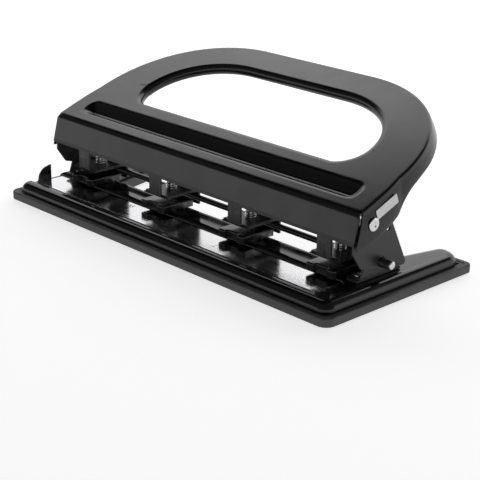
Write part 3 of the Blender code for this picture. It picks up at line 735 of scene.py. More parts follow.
def inked(piece, ink):
    """Let a mark travel with the ruler."""
    piece.data.materials.clear()
    piece.data.materials.append(ink)
    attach(piece, "paper_guide")


def make_ticks(front, ink):
    """A long and a short stroke at each paper size, in one piece."""
    points = []
    faces = []
    for _, x in RULER_MARKS:
        for y, half_x, half_y in ((front + 11.0, TICK_WIDE, TICK_LONG), (front + 6.6, TICK_SHORT, TICK_WIDE)):
            start = len(points)
            for z in (RULER_TOP - 0.02, RULER_TOP + INK_PROUD):
                points.extend([(x - half_x, y - half_y, z), (x + half_x, y - half_y, z),
                               (x + half_x, y + half_y, z), (x - half_x, y + half_y, z)])
            low = range(start, start + 4)
            high = range(start + 4, start + 8)
            faces += [tuple(reversed(low)), tuple(high), *wall(low, high)]
    inked(piece_from("ruler_ticks", points, faces), ink)


def make_letters(label, x, front, ink):
    """Raised letters of one paper size."""
    text = bpy.data.curves.new(f"mark_{label}", "FONT")
    text.body = label
    text.size = LETTER_SIZE * MM
    text.extrude = INK_PROUD * MM
    text.align_x = "CENTER"
    holder = bpy.data.objects.new(f"mark_{label}", text)
    bpy.context.scene.collection.objects.link(holder)
    graph = bpy.context.evaluated_depsgraph_get()
    mesh = bpy.data.meshes.new_from_object(holder.evaluated_get(graph))
    bpy.data.objects.remove(holder, do_unlink=True)
    mesh.transform(Matrix.Translation(bench(x, front + 15.4, RULER_TOP)))
    welded(mesh)
    inked(piece_of(f"ruler_mark_{label}", mesh), ink)


# --- the heads ---------------------------------------------------------------------------------------
HEAD_BORE = 3.3             # radius of the bores that guide the pins
GUIDE_LOW = 23.9            # underside of the lower guide flange
GUIDE_LOW_TOP = 25.9
GUIDE_HIGH = 42.0           # underside of the upper guide flange
FRAME_GAUGE = 1.5
WINDOW_EDGE = 5.9           # half width of the narrow front plate between the two open windows
CLOSED_TURNS = 0.9          # of each spring that lie flat at an end
TURN_POINTS = 36
COIL_LIFT = 2.1             # climb of a closed turn, in wire radii


def make_dies():
    """Thick die blocks with two rounded prongs in front and a bore under each pin."""
    low, high = bench_box("die_block_2")
    half = (high.x - low.x) / 2
    slot_floor = low.y + 2.8
    outline = rounded([(-half, low.y, 2.2), (-5.6, low.y, 1.2), (-4.6, slot_floor, 0.8),
                       (4.6, slot_floor, 0.8), (5.6, low.y, 1.2), (half, low.y, 2.2),
                       (half, high.y, 1.2), (-half, high.y, 1.2)], 6)
    bore = ring(HEAD_BORE, 40, (0.0, PUNCH_Y))
    levels = [(low.z, [outline, bore])]
    chamfer = 1.1
    for sine, drop in quarter_arc(4):
        inset = chamfer * drop
        levels.append((high.z - chamfer + chamfer * sine,
                       [drawn_in(outline, inset), drawn_in(bore, -inset * 0.25)]))
    block = stacked("die_master", levels)
    even_normals(block)
    black = finish_of("blacked die steel", tuple(colours().die), 0.2, 0.18, 0.05, 0.9, grain=1800.0,
                      bump=0.05, wear=((0.4, 0.4, 0.4), 0.6))
    for number, x in zip(HEADS, PUNCH_X):
        made = copy_along(block, f"die_block_{number}_ground", x)
        fitted(made, "base", f"die_block_{number}", black)
    bpy.data.objects.remove(block, do_unlink=True)


def make_head_frames():
    """Folded sheet frame: rear column, lower and upper guide flanges and a narrow front plate."""
    low, high = bench_box("head_frame_2")
    front = low.y
    column = high.y - 1.7
    inside = column - 0.2
    half = (high.x - low.x) / 2
    outer = rounded([(front, GUIDE_LOW, 1.4), (column, GUIDE_LOW, 0.4), (column, low.z, 0.0),
                     (high.y, low.z, 0.0), (high.y, high.z, 1.4), (front, high.z, 1.4)], 6)
    inner = rounded([(front + FRAME_GAUGE, GUIDE_LOW_TOP, 0.5), (inside, GUIDE_LOW_TOP, 0.5),
                     (inside, GUIDE_HIGH, 0.5), (front + FRAME_GAUGE, GUIDE_HIGH, 0.5)], 4)
    sheet = plate("frame_master", [outer, inner], -half, half, 0.18, 2, facing="zxy")
    tools = []
    for side in (-1, 1):
        near = side * WINDOW_EDGE
        far = side * (half + 3.0)
        corners = [(near, GUIDE_LOW + 1.2, 1.6), (far, GUIDE_LOW + 1.2, 0.0),
                   (far, GUIDE_HIGH - 0.3, 0.0), (near, GUIDE_HIGH - 0.3, 1.6)]
        tools.append(plate("window", [rounded(corners, 6)], front - 2.0, front + FRAME_GAUGE + 0.4, 0.0,
                           facing="xzy"))
    for lower, upper in ((GUIDE_LOW, GUIDE_LOW_TOP), (GUIDE_HIGH, high.z)):
        tools.append(plate("guide_bore", [ring(HEAD_BORE, 32, (0.0, PUNCH_Y))], lower - 1, upper + 1, 0.0))
    carve(sheet, tools)
    even_normals(sheet)
    black = finish_of("drawn black sheet", tuple(colours().frame), 0.25, 0.34, 0.07, 0.25,
                      stretch=(2600.0, 2600.0, 60.0), bump=0.16, wear=((0.25, 0.25, 0.25), 0.4))
    for number, x in zip(HEADS, PUNCH_X):
        made = copy_along(sheet, f"head_frame_{number}_folded", x)
        fitted(made, "base", f"head_frame_{number}", black)
    bpy.data.objects.remove(sheet, do_unlink=True)


def make_pins():
    """Ground punch pins with a cupped cutting end, and the collars that hold the springs down."""
    steel = finish_of("ground pin steel", tuple(colours().steel), 0.08, 0.16, 0.05, 1.0,
                      stretch=(3000.0, 3000.0, 300.0), bump=0.05)
    for number, x in zip(HEADS, PUNCH_X):
        low, high = bench_box(f"punch_pin_{number}")
        radius = (high.x - low.x) / 2
        profile = [(0.0, high.z), (radius - 0.5, high.z), (radius - 0.15, high.z - 0.15),
                   (radius, high.z - 0.5), (radius, low.z + 0.15), (radius - 0.12, low.z),
                   (radius - 0.35, low.z), (1.4, low.z + 0.7), (0.0, low.z + 1.0)]
        pin = lathed(f"punch_pin_{number}_ground", profile, (x, PUNCH_Y, 0.0), sides=48)
        fitted(pin, "punch_carriage", f"punch_pin_{number}", steel)
        low, high = bench_box(f"spring_collar_{number}")
        outer = (high.x - low.x) / 2
        inner = 3.2
        profile = [(inner, high.z), (outer - 0.3, high.z), (outer, high.z - 0.3), (outer, low.z + 0.3),
                   (outer - 0.3, low.z), (inner, low.z)]
        collar = lathed(f"spring_collar_{number}_turned", profile, (x, PUNCH_Y, 0.0), sides=48)
        fitted(collar, "punch_carriage", f"spring_collar_{number}", steel)


def make_springs():
    """Compression springs with a closed coil at each end, each wound as one fixed mesh."""
    steel = finish_of("bright spring wire", tuple(colours().spring), 0.06, 0.14, 0.04, 1.0, grain=2600.0,
                      bump=0.05)
    turns = sizes().spring_turns
    wire = sizes().spring_wire / MM / 2
    lift = wire * COIL_LIFT
    for number, x in zip(HEADS, PUNCH_X):
        low, high = bench_box(f"return_spring_{number}")
        radius = (high.x - low.x) / 2 - wire
        rise = (high.z - low.z - 2 * wire) - 2 * CLOSED_TURNS * lift
        path = []
        for index in range(int(turns * TURN_POINTS) + 1):
            turn = index / TURN_POINTS
            start = min(turn, CLOSED_TURNS) * lift
            end = (CLOSED_TURNS - min(turns - turn, CLOSED_TURNS)) * lift
            share = min(max((turn - CLOSED_TURNS) / (turns - 2 * CLOSED_TURNS), 0.0), 1.0)
            angle = math.tau * turn + QUARTER
            path.append((x + radius * math.cos(angle), PUNCH_Y + radius * math.sin(angle),
                         low.z + wire + start + rise * share + end))
        spring = tube(f"return_spring_{number}_wound", path, wire, 12)
        fitted(spring, "base", f"return_spring_{number}", steel)
        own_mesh(spring)


# --- brackets and what they hold ---------------------------------------------------------------------
PIVOT_BORE = 2.3
LOCK_BORE = 3.6
SPARE_HOLE = (66.6, 45.0)   # small open hole near the side plate's rear edge
SPARE_BORE = 1.7
WEB_GAUGE = 1.3
FOOT_GAUGE = 1.5
FOOT_FILLET = 1.6
SCREW_X = 139.5
SCREW_Y = (50.0, 74.0)
SCREW_BORE = 1.8
SCREW_RISE = 1.6
CROSS_ARM = 1.5             # half length and half width of the cross recess
CROSS_WIDE = 0.28
CROSS_TURN = 0.5            # radians that the cross is turned by
RIVET_HEAD = 1.0
RIVET_CROWN = 2.3           # radius where the head's rounded rim begins
RIVET_SHANK = 2.0
GRIP_RIBS = 6


def make_brackets():
    """Side plates that carry the handle's rivets, with a sloping rear edge."""
    outline = rounded([(35.2, 34.6, 1.2), (42.6, 24.0, 1.4), (61.0, 19.2, 5.0), (85.8, 16.9, 2.2),
                       (67.2, 54.0, 4.0), (56.0, 56.2, 4.0), (48.5, 55.6, 3.0), (41.4, 52.4, 2.0),
                       (38.2, 49.2, 1.5), (35.6, 40.6, 1.5)], 8)
    for side, word in SIDES:
        holes = [ring(PIVOT_BORE, 32, (PIVOT_Y, PIVOT_Z)), ring(SPARE_BORE, 24, SPARE_HOLE)]
        if side > 0:
            holes.append(ring(LOCK_BORE, 32, (LOCK_Y, LOCK_Z)))
        low, high = bench_box(f"{word}_bracket")
        bracket = plate(f"{word}_bracket_pressed", [outline] + holes, low.x, high.x, 0.25, 3, facing="zxy")
        even_normals(bracket)
        fitted(bracket, "base", f"{word}_bracket", satin_enamel())


def make_feet():
    """Feet: a web inside each side plate and a flange screwed down with cross-head screws."""
    for side, word in SIDES:
        low, high = bench_box(f"{word}_foot")
        inner, outer = sorted((abs(low.x), abs(high.x)))
        flange_corners = [(side * inner, low.y, 5.5), (side * outer, low.y, 0.0),
                          (side * outer, high.y, 0.0), (side * inner, high.y, 5.5)]
        bores = [ring(SCREW_BORE, 24, (side * SCREW_X, y)) for y in SCREW_Y]
        flange_top = low.z + FOOT_GAUGE
        outlines = [rounded(flange_corners, 10)] + bores
        flange = plate(f"{word}_foot_folded", outlines, low.z, flange_top, 0.3, 3)
        corners = [(low.y + 2.5, low.z + 0.5, 0.0), (high.y - 0.5, low.z + 0.5, 0.0), (76.0, high.z, 4.0),
                   (50.0, high.z, 4.0)]
        inside = side * (outer - WEB_GAUGE)
        faces = sorted((side * outer, inside))
        holes = [ring(LOCK_BORE, 32, (LOCK_Y, LOCK_Z))] if side > 0 else []
        web = plate("foot_web", [rounded(corners, 8)] + holes, faces[0], faces[1], 0.25, 3, facing="zxy")
        buried = inside + side * 0.3
        bend = [(buried, flange_top - 0.3)]
        for sine, drop in quarter_arc(6):
            bend.append((inside - side * FOOT_FILLET * (1 - sine), flange_top + FOOT_FILLET * drop))
        bend.append((buried, flange_top + FOOT_FILLET))
        seam = plate("foot_bend", [bend], low.y + 4.0, high.y - 4.0, 0.0, facing="xzy")
        carve(flange, [web, seam], "UNION")
        even_normals(flange)
        fitted(flange, "base", f"{word}_foot", satin_enamel())
        for number in (1, 2):
            make_screw(f"{word}_foot_screw_{number}")


def make_screw(node):
    """Pan-head screw with a cross recess."""
    low, high = bench_box(node)
    middle = middle_of(node)
    radius = (high.x - low.x) / 2
    seat = high.z - SCREW_RISE
    rim = 0.25
    shank = 1.4
    profile = [(0.0, high.z)] + dome(0.0, radius, seat + rim, SCREW_RISE - rim)
    profile += [(radius, seat), (shank, seat), (shank, low.z), (0.0, low.z)]
    screw = lathed(f"{node}_cross", profile, (middle.x, middle.y, 0.0), sides=40)
    tools = []
    for turn in (CROSS_TURN, CROSS_TURN + QUARTER):
        cosine = math.cos(turn)
        sine = math.sin(turn)
        corners = [(-CROSS_ARM, -CROSS_WIDE), (CROSS_ARM, -CROSS_WIDE), (CROSS_ARM, CROSS_WIDE),
                   (-CROSS_ARM, CROSS_WIDE)]
        spun = [(middle.x + a * cosine - b * sine, middle.y + a * sine + b * cosine) for a, b in corners]
        tools.append(plate("cross_arm", [spun], high.z - 0.9, high.z + 1.0, 0.0))
    carve(screw, tools)
    even_normals(screw)
    fitted(screw, "base", node, bright_zinc())


def make_rivets():
    """Pivot rivets with a domed head, a dimple and a set tail."""
    steel = finish_of("polished rivet steel", tuple(colours().rivet), 0.06, 0.16, 0.05, 1.0, grain=1500.0,
                      bump=0.05, wear=((0.95, 0.95, 0.95), 0.3))
    for side, word in SIDES:
        low, high = bench_box(f"{word}_pivot_rivet")
        reach, tail = sorted((abs(low.x), abs(high.x)), reverse=True)
        radius = (high.y - low.y) / 2
        face = reach - RIVET_HEAD
        profile = [(0.0, face + 0.2), (0.7, face + 0.24), (1.25, face + 0.4), (1.55, face + 0.75),
                   (1.85, face + 0.95), (RIVET_CROWN, face + RIVET_HEAD)]
        profile += dome(RIVET_CROWN, radius, face + 0.3, 0.7)
        profile += [(radius, face), (RIVET_SHANK, face), (RIVET_SHANK, tail + 0.8), (3.4, tail + 0.8),
                    (3.3, tail + 0.15), (3.0, tail), (0.0, tail)]
        axis = "x" if side > 0 else "-x"
        rivet = lathed(f"{word}_pivot_rivet_set", profile, (0.0, PIVOT_Y, PIVOT_Z), axis, 48)
        fitted(rivet, "base", f"{word}_pivot_rivet", steel)


def make_rod():
    """Round rod behind the dies, its ends slightly rounded."""
    low, high = bench_box("paper_stop_rod")
    half = high.x
    radius = (high.y - low.y) / 2
    end = [(0.0, half), (radius - 0.4, half), (radius - 0.1, half - 0.15), (radius, half - 0.5)]
    profile = end + [(reach, -height) for reach, height in reversed(end)]
    rod = lathed("paper_stop_rod_turned", profile, (0.0, ROD_Y, ROD_Z), "x", 40)
    black = finish_of("blacked rod", (0.016, 0.016, 0.017), 0.2, 0.26, 0.06, 0.1,
                      stretch=(120.0, 2500.0, 2500.0), bump=0.06, wear=((0.2, 0.2, 0.2), 0.2))
    fitted(rod, "base", "paper_stop_rod", black)


def make_lock():
    """Hold-down pin: a ribbed black grip and a steel pin with a bright end."""
    low, high = bench_box("lock_grip")
    profile = [(0.0, high.x), (2.4, high.x)]
    pitch = (high.x - low.x - 1.0) / GRIP_RIBS
    for rib in range(GRIP_RIBS):
        top = high.x - 0.2 - rib * pitch
        profile += [(2.85, top), (3.1, top - pitch * 0.2), (3.2, top - pitch * 0.4),
                    (3.1, top - pitch * 0.6), (2.85, top - pitch * 0.8)]
    profile += [(2.8, low.x + 0.1), (2.4, low.x), (0.0, low.x)]
    grip = lathed("lock_grip_ribbed", profile, (0.0, LOCK_Y, LOCK_Z), "x", 40)
    black = finish_of("ribbed grip plastic", (0.014, 0.014, 0.014), 0.2, 0.42, 0.08, grain=2200.0, bump=0.12)
    fitted(grip, "lock", "lock_grip", black)
    low, high = bench_box("lock_pin_cap")
    radius = (high.y - low.y) / 2
    foot = low.x + 0.6
    profile = [(0.0, high.x)] + dome(0.0, radius, foot, high.x - foot)
    profile += [(radius, low.x + 0.1), (radius - 0.15, low.x), (0.0, low.x)]
    cap = lathed("lock_pin_cap_domed", profile, (0.0, LOCK_Y, LOCK_Z), "x", 40)
    fitted(cap, "lock", "lock_pin_cap", bright_zinc())


def make_press_bar():
    """Flat bar with rounded ends that all four pins hang from."""
    low, high = bench_box("press_bar")
    outline = rounded([(low.x, low.y, 2.0), (high.x, low.y, 2.0), (high.x, high.y, 2.0),
                       (low.x, high.y, 2.0)], 6)
    bar = plate("press_bar_rolled", [outline], low.z, high.z, 0.35, 3)
    even_normals(bar)
    steel = finish_of("oiled bar steel", (0.2, 0.2, 0.21), 0.15, 0.34, 0.08, 1.0,
                      stretch=(40.0, 3000.0, 3000.0), bump=0.1, wear=((0.5, 0.5, 0.5), 0.3))
    fitted(bar, "punch_carriage", "press_bar", steel)


# --- the handle --------------------------------------------------------------------------------------
HANDLE_TILT = math.radians(21.0)
HANDLE_FRONT_Y = 38.4       # where the planes of the top and the front flange would meet
HANDLE_FRONT_Z = 60.8
HANDLE_HALF = 150.8
HANDLE_REACH = 130.6        # length of the top from front to far edge, along its slope
HANDLE_GAUGE = 1.2
SUPER_POWER = 2.1
BEND = 6.0                  # outer radius of the front bend
SIDE_BEND = 1.6             # outer radius of the crease along the sides
SIDE_TURN = math.radians(74.0)
SIDE_BOW = 44.0             # radius of the side flange's slight bow below the crease
FRONT_TURN = math.radians(54.9)
FRONT_FLANGE = 20.5
OPENING_HALF = 106.3        # to the crown of the rolled lip
OPENING_FRONT = 38.5
OPENING_REAR = 102.7
OPENING_CORNER = 14.0       # radius of the hand hole's front corners
CORNER_RISE = 5.0           # how much further back those corners end than a plain quarter turn
SIDE_LENGTH = 40.0          # along the slope, where the sides start to curve towards the rear
SIDE_TAPER = 2.1            # how far each side has come in there
REAR_HALF = 50.0            # half width of the straight stretch at the rear
HOLE_REAR_HALF = 45.0       # and of the hand hole's
HOLE_REAR_START = 55.0      # along the slope, where the hand hole's rear curve starts
LIP_BEND = 4.2
LIP_TURN = math.radians(172.0)
FLANGE_END = 149.0          # where the front flange stops, just short of the side flange
SIDE_EDGE = 2.4             # how far the side flange starts behind the front flange, along the slope
EDGE_SPREAD = 12.0          # length over which the side flange turns upright behind its front edge
FLANGE_DROPS = [(38.0, 20.0), (48.4, 25.1), (66.4, 23.4), (74.0, 22.3), (76.0, 20.0), (78.0, 17.2),
                (81.0, 15.0), (86.0, 12.6), (95.0, 11.6), (170.0, 11.4)]
GROOVE_HALF = 133.5
GROOVE_FRONT = 9.6
GROOVE_REAR = 25.9
GROOVE_CORNER = 7.0
GROOVE_STEEP = 0.71
GROOVE_RAMP = 0.446
GROOVE_DEPTH = 0.9
GROOVE_EDGE = 1.1           # half reach of the arc where the steep front starts
GROOVE_REAR_EDGE = 1.6      # and of the arc where the ramp ends
CORNER_SPREAD = 1.6         # half length over which the side flange's lower corners are rounded off
CORNER_SAMPLES = 7
EDGE_ROUND = 0.22           # bevel on the sheet's cut edges
HANDLE_SMOOTH = 40.0        # degrees up to which the handle's faces shade as one surface
STATIONS = 60               # columns along the front; the other stretches follow from it


def smooth_step(value):
    """Ease from 0 to 1."""
    value = min(max(value, 0.0), 1.0)
    return value * value * (3 - 2 * value)


def eased_start(distance, radius):
    """Zero before an edge, then a straight climb, with an arc of that reach between them."""
    if distance <= -radius:
        return 0.0
    if distance >= radius:
        return distance
    return (distance + radius) ** 2 / (4 * radius)


def groove_drop(x, v):
    """Depth of the pressed groove: a steep front and ends, and a long ramp up to the rear."""
    half_v = (GROOVE_REAR - GROOVE_FRONT) / 2
    qx = abs(x) - (GROOVE_HALF - GROOVE_CORNER)
    qv = abs(v - (GROOVE_REAR + GROOVE_FRONT) / 2) - (half_v - GROOVE_CORNER)
    inside = GROOVE_CORNER - math.hypot(max(qx, 0.0), max(qv, 0.0)) - min(max(qx, qv), 0.0)
    steep = GROOVE_STEEP * eased_start(inside, GROOVE_EDGE)
    ramp = GROOVE_RAMP * eased_start(GROOVE_REAR - v, GROOVE_REAR_EDGE)
    blend = min(GROOVE_DEPTH, steep + ramp)
    if blend < TINY:
        return 0.0
    overlap = max(blend - abs(steep - ramp), 0.0) / blend
    return max(min(steep, ramp) - overlap * overlap * blend / 4, 0.0)


def super_quarter(angle, centre, reach):
    """Point and outward normal on a quarter of a superellipse; angle 0 is along +X."""
    cosine = max(math.cos(angle), 0.0)
    sine = max(math.sin(angle), 0.0)
    point = Vector((centre[0] + reach[0] * cosine ** (2 / SUPER_POWER),
                    centre[1] + reach[1] * sine ** (2 / SUPER_POWER)))
    normal = Vector((cosine ** (2 - 2 / SUPER_POWER) / reach[0], sine ** (2 - 2 / SUPER_POWER) / reach[1]))
    return point, normal.normalized()


def hole_corner(angle, radius):
    """Point and normal on the hand hole's front corner; angle 0 is its straight front edge."""
    centre = Vector((OPENING_HALF - radius, OPENING_FRONT + radius))
    outward = Vector((math.sin(angle), -math.cos(angle)))
    return centre + outward * radius, -outward


def handle_stations():
    """Matching points on the rim and the hand hole for the right half, front to rear middle."""
    stations = []
    edge = HANDLE_HALF - SIDE_REACH
    flat_hole = OPENING_HALF - OPENING_CORNER
    for step in range(STATIONS + 1):
        share = step / STATIONS
        stations.append((Vector((edge * share, SETBACK)), Vector((0.0, -1.0)),
                         Vector((flat_hole * share, OPENING_FRONT)), Vector((0.0, 1.0)), "front"))
    side_steps = STATIONS * 3 // 4
    for step in range(side_steps + 1):
        share = step / side_steps
        v = SETBACK + (SIDE_LENGTH - SETBACK) * share
        normal = Vector((1.0, 0.05 * share)).normalized()
        point = Vector((HANDLE_HALF - SIDE_TAPER * (v / SIDE_LENGTH) ** 4, v)) - normal * SIDE_REACH
        hole_point, hole_normal = hole_corner(QUARTER * share, OPENING_CORNER)
        hole_point.y += CORNER_RISE * share
        stations.append((point, normal, hole_point, hole_normal, "side" if step else "side edge"))
    rim_reach = (HANDLE_HALF - SIDE_TAPER - REAR_HALF, HANDLE_REACH - SIDE_LENGTH)
    hole_reach = (OPENING_HALF - HOLE_REAR_HALF, OPENING_REAR - HOLE_REAR_START)
    for step in range(1, STATIONS + 1):
        angle = QUARTER * step / STATIONS
        rim, normal = super_quarter(angle, (REAR_HALF, SIDE_LENGTH), rim_reach)
        hole, inward = super_quarter(angle, (HOLE_REAR_HALF, HOLE_REAR_START), hole_reach)
        stations.append((rim - normal * SIDE_REACH, normal, hole, -inward, "side"))
    rear_steps = 14
    for step in range(1, rear_steps + 1):
        share = 1 - step / rear_steps
        stations.append((Vector((REAR_HALF * share, HANDLE_REACH - SIDE_REACH)), Vector((0.0, 1.0)),
                         Vector((HOLE_REAR_HALF * share, OPENING_REAR)), Vector((0.0, -1.0)), "side"))
    return stations


def drop_at(y):
    """Depth of the side flange under its crease, before its corners are rounded off."""
    for (y0, drop0), (y1, drop1) in zip(FLANGE_DROPS, FLANGE_DROPS[1:]):
        if y <= y1:
            return drop0 + (drop1 - drop0) * max(0.0, (y - y0) / (y1 - y0))
    return FLANGE_DROPS[-1][1]


def flange_drop(y):
    """Depth of the side flange, with the corners of its lower edge rounded off."""
    shifts = [CORNER_SPREAD * (2 * k / (CORNER_SAMPLES - 1) - 1) for k in range(CORNER_SAMPLES)]
    return sum(drop_at(y + shift) for shift in shifts) / CORNER_SAMPLES


FLANGE_ROWS = 7
BEND_ROWS = 10
LIP_ROWS = 14
SETBACK = BEND * math.tan(FRONT_TURN / 2)


def front_edge(fall):
    """Where the front bend and flange lie along the slope at a depth under the top."""
    foot = BEND * (1 - math.cos(FRONT_TURN))
    if fall < foot:
        return SETBACK - BEND * math.sin(math.acos(1 - fall / BEND))
    return SETBACK - BEND * math.sin(FRONT_TURN) - (fall - foot) / math.tan(FRONT_TURN)


def side_offset(fall):
    """How far the side's outside has come out at a depth under the top."""
    foot = SIDE_BEND * (1 - math.cos(SIDE_TURN))
    if fall < foot:
        return SIDE_BEND * math.sin(math.acos(1 - fall / SIDE_BEND))
    lean = math.cos(SIDE_TURN)
    left = max(lean - (fall - foot) / SIDE_BOW, 0.0)
    bow = math.sqrt(1 - left * left) - math.sqrt(1 - lean * lean)
    return SIDE_BEND * math.sin(SIDE_TURN) + SIDE_BOW * bow


SIDE_REACH = side_offset(30.0)


def handle_column(station, top_rows):
    """Points (x, v, w) across the sheet at one station, from the rim's lower edge to the lip's."""
    base, normal, hole, inward, part = station
    points = []
    if part == "front":
        foot = BEND * (1 - math.cos(FRONT_TURN))
        deepest = foot + (FRONT_FLANGE - SETBACK) * math.sin(FRONT_TURN)
        turn = FRONT_TURN
        radius = BEND
    else:
        y = HANDLE_FRONT_Y + (base.y + normal.y * SIDE_REACH) * math.cos(HANDLE_TILT)
        foot = SIDE_BEND * (1 - math.cos(SIDE_TURN))
        deepest = flange_drop(y) * math.cos(HANDLE_TILT)
        turn = SIDE_TURN
        radius = SIDE_BEND
    falls = [deepest + (foot - deepest) * k / FLANGE_ROWS for k in range(FLANGE_ROWS)]
    falls += [radius * (1 - math.cos(turn * (1 - k / BEND_ROWS))) for k in range(BEND_ROWS + 1)]
    lean = math.tan(HANDLE_TILT) * (1 - smooth_step((base.y - 45.0) / 30.0))
    upright = smooth_step((base.y - SETBACK) / EDGE_SPREAD)
    for fall in falls:
        if part == "front":
            wide = 1 + (FLANGE_END / (HANDLE_HALF - SIDE_REACH) - 1) * smooth_step(fall / foot)
            points.append((base.x * wide, front_edge(fall), -fall))
            continue
        spot = base + normal * side_offset(fall)
        slanted = (front_edge(fall) - SETBACK + SIDE_EDGE * smooth_step(fall / foot)) * (1 - upright)
        points.append((spot.x, spot.y + slanted - lean * upright * max(fall - foot, 0.0), -fall))
    edge = hole - inward * LIP_BEND
    for share in top_rows:
        spot = base.lerp(edge, share)
        points.append((spot.x, spot.y, -groove_drop(spot.x, spot.y)))
    for step in range(LIP_ROWS + 1):
        angle = LIP_TURN * step / LIP_ROWS
        spot = edge + inward * (LIP_BEND * math.sin(angle))
        points.append((spot.x, spot.y, -LIP_BEND + LIP_BEND * math.cos(angle)))
    return points


def handle_point(x, v, w):
    """From the handle's own sheet (x, along the slope v, off the sheet w) to the bench."""
    return (x, HANDLE_FRONT_Y + v * math.cos(HANDLE_TILT) - w * math.sin(HANDLE_TILT),
            HANDLE_FRONT_Z + v * math.sin(HANDLE_TILT) + w * math.cos(HANDLE_TILT))


def handle_rows():
    """Shares of the way across the top, close together over the groove."""
    last = OPENING_FRONT - LIP_BEND
    rows = [SETBACK + 1.2 * k for k in range(1, 5)]
    while rows[-1] < GROOVE_REAR + 2.0:
        rows.append(rows[-1] + 0.62)
    while rows[-1] < last - 1.6:
        rows.append(rows[-1] + 1.3)
    return [(v - SETBACK) / (last - SETBACK) for v in rows]


def handle_sheet():
    """Outer surface of the handle: a fine loft across the sheet at each station, left half mirrored."""
    top_rows = handle_rows()
    columns = [(handle_column(station, top_rows), station[4]) for station in handle_stations()]
    columns += [([(-x, v, w) for x, v, w in points], part) for points, part in reversed(columns[1:-1])]
    work = bmesh.new()
    grid = [[work.verts.new(bench(*handle_point(*point))) for point in points] for points, _ in columns]
    for index in range(len(columns)):
        after = (index + 1) % len(columns)
        if {columns[index][1], columns[after][1]} == {"front", "side edge"}:
            continue
        for row in range(len(grid[0]) - 1):
            work.faces.new((grid[index][row], grid[after][row], grid[after][row + 1], grid[index][row + 1]))
    bmesh.ops.remove_doubles(work, verts=work.verts, dist=WELD)
    bmesh.ops.recalc_face_normals(work, faces=work.faces)
    work.faces.ensure_lookup_table()
    top_face = max(work.faces, key=lambda face: face.calc_center_median().z)
    if top_face.normal.z < 0:
        bmesh.ops.reverse_faces(work, faces=work.faces)
    mesh = bpy.data.meshes.new("handle_sheet")
    work.to_mesh(mesh)
    work.free()
    return mesh


def make_handle():
    """Pressed sheet handle, thickened inwards, with its cut edges rounded."""
    handle = piece_of("handle_pressed", handle_sheet())
    sheet = handle.modifiers.new("Sheet", "SOLIDIFY")
    sheet.thickness = HANDLE_GAUGE * MM
    sheet.offset = -1.0
    settled(handle, HANDLE_SMOOTH)
    edges = handle.modifiers.new("Edges", "BEVEL")
    edges.width = EDGE_ROUND * MM
    edges.segments = 2
    edges.limit_method = "ANGLE"
    edges.angle_limit = math.radians(60.0)
    settled(handle, HANDLE_SMOOTH)
    enamel = finish_of("handle black enamel", tuple(colours().enamel), 0.1, 0.17, 0.03, grain=520.0,
                       bump=0.03, wear=((0.05, 0.05, 0.052), 0.15), dust=0.008)
    fitted(handle, "lever", "handle", enamel)


def make_rib():
    """Rib welded under the handle, which presses on the bar."""
    low, high = bench_box("press_rib")
    outline = rounded([(low.x, low.z, 1.5), (high.x, low.z, 1.5), (high.x, high.z, 0.5),
                       (low.x, high.z, 0.5)], 6)
    rib = plate("press_rib_welded", [outline], low.y, high.y, 0.25, 3, facing="xzy")
    even_normals(rib)
    fitted(rib, "lever", "press_rib", satin_enamel())


LABEL_FOOT = (52.2, 54.4)   # the label's lower front corner
LABEL_TAIL = (70.4, 61.6)   # its lower rear corner
LABEL_SLOPE = (LABEL_TAIL[1] - LABEL_FOOT[1]) / (LABEL_TAIL[0] - LABEL_FOOT[0])
LABEL_LEAN = 0.118          # how far the label leans inwards for each unit of height, on the bowed flange


def make_label():
    """Plain white sticker on the right-hand side flange."""
    high = bench_box("side_label")[1]
    corners = [(*LABEL_FOOT, 0.5), (*LABEL_TAIL, 0.5), (69.0, 67.3, 0.5), (50.8, 60.0, 0.5)]
    face = HANDLE_HALF + CLEARANCE
    label = plate("side_label_paper", [rounded(corners, 5)], face, high.x, 0.06, 2, facing="zxy")
    foot = bench(0.0, *LABEL_FOOT)
    for vertex in label.data.vertices:
        rise = vertex.co.z - foot.z - (vertex.co.y - foot.y) * LABEL_SLOPE
        vertex.co.x -= LABEL_LEAN * rise
    even_normals(label)
    paper = finish_of("label paper", tuple(colours().label), 0.03, 0.45, 0.06, grain=2400.0, bump=0.08)
    fitted(label, "lever", "side_label", paper)


# --- the stage ---------------------------------------------------------------------------------------
CAMERA_AT = (0.6387, -0.60936, 0.3209)
CAMERA_YAW = math.radians(-46.28)
CAMERA_PITCH = math.radians(20.43)
CAMERA_ROLL = math.radians(0.80)
CAMERA_LENS = 100.7
SENSOR_WIDTH = 36.0
FLOOR_HALF = 4.0                        # metres from the middle to the floor's edges
FLOOR_GAP = 0.02                        # millimetres between the floor and the feet
FLOOR_GLOW = 0.45
FLOOR_GLOW_SEEN = 0.28                  # added where the camera looks straight at the floor
BOX_LOW = (-2.2, -0.4)                  # softbox corners and height, in metres
BOX_HIGH = (0.2, 1.6)
BOX_HEIGHT = 1.0
BOX_STRENGTH = 2.0
WALL_BRIGHT = 1.1
WALL_DIM = 0.10


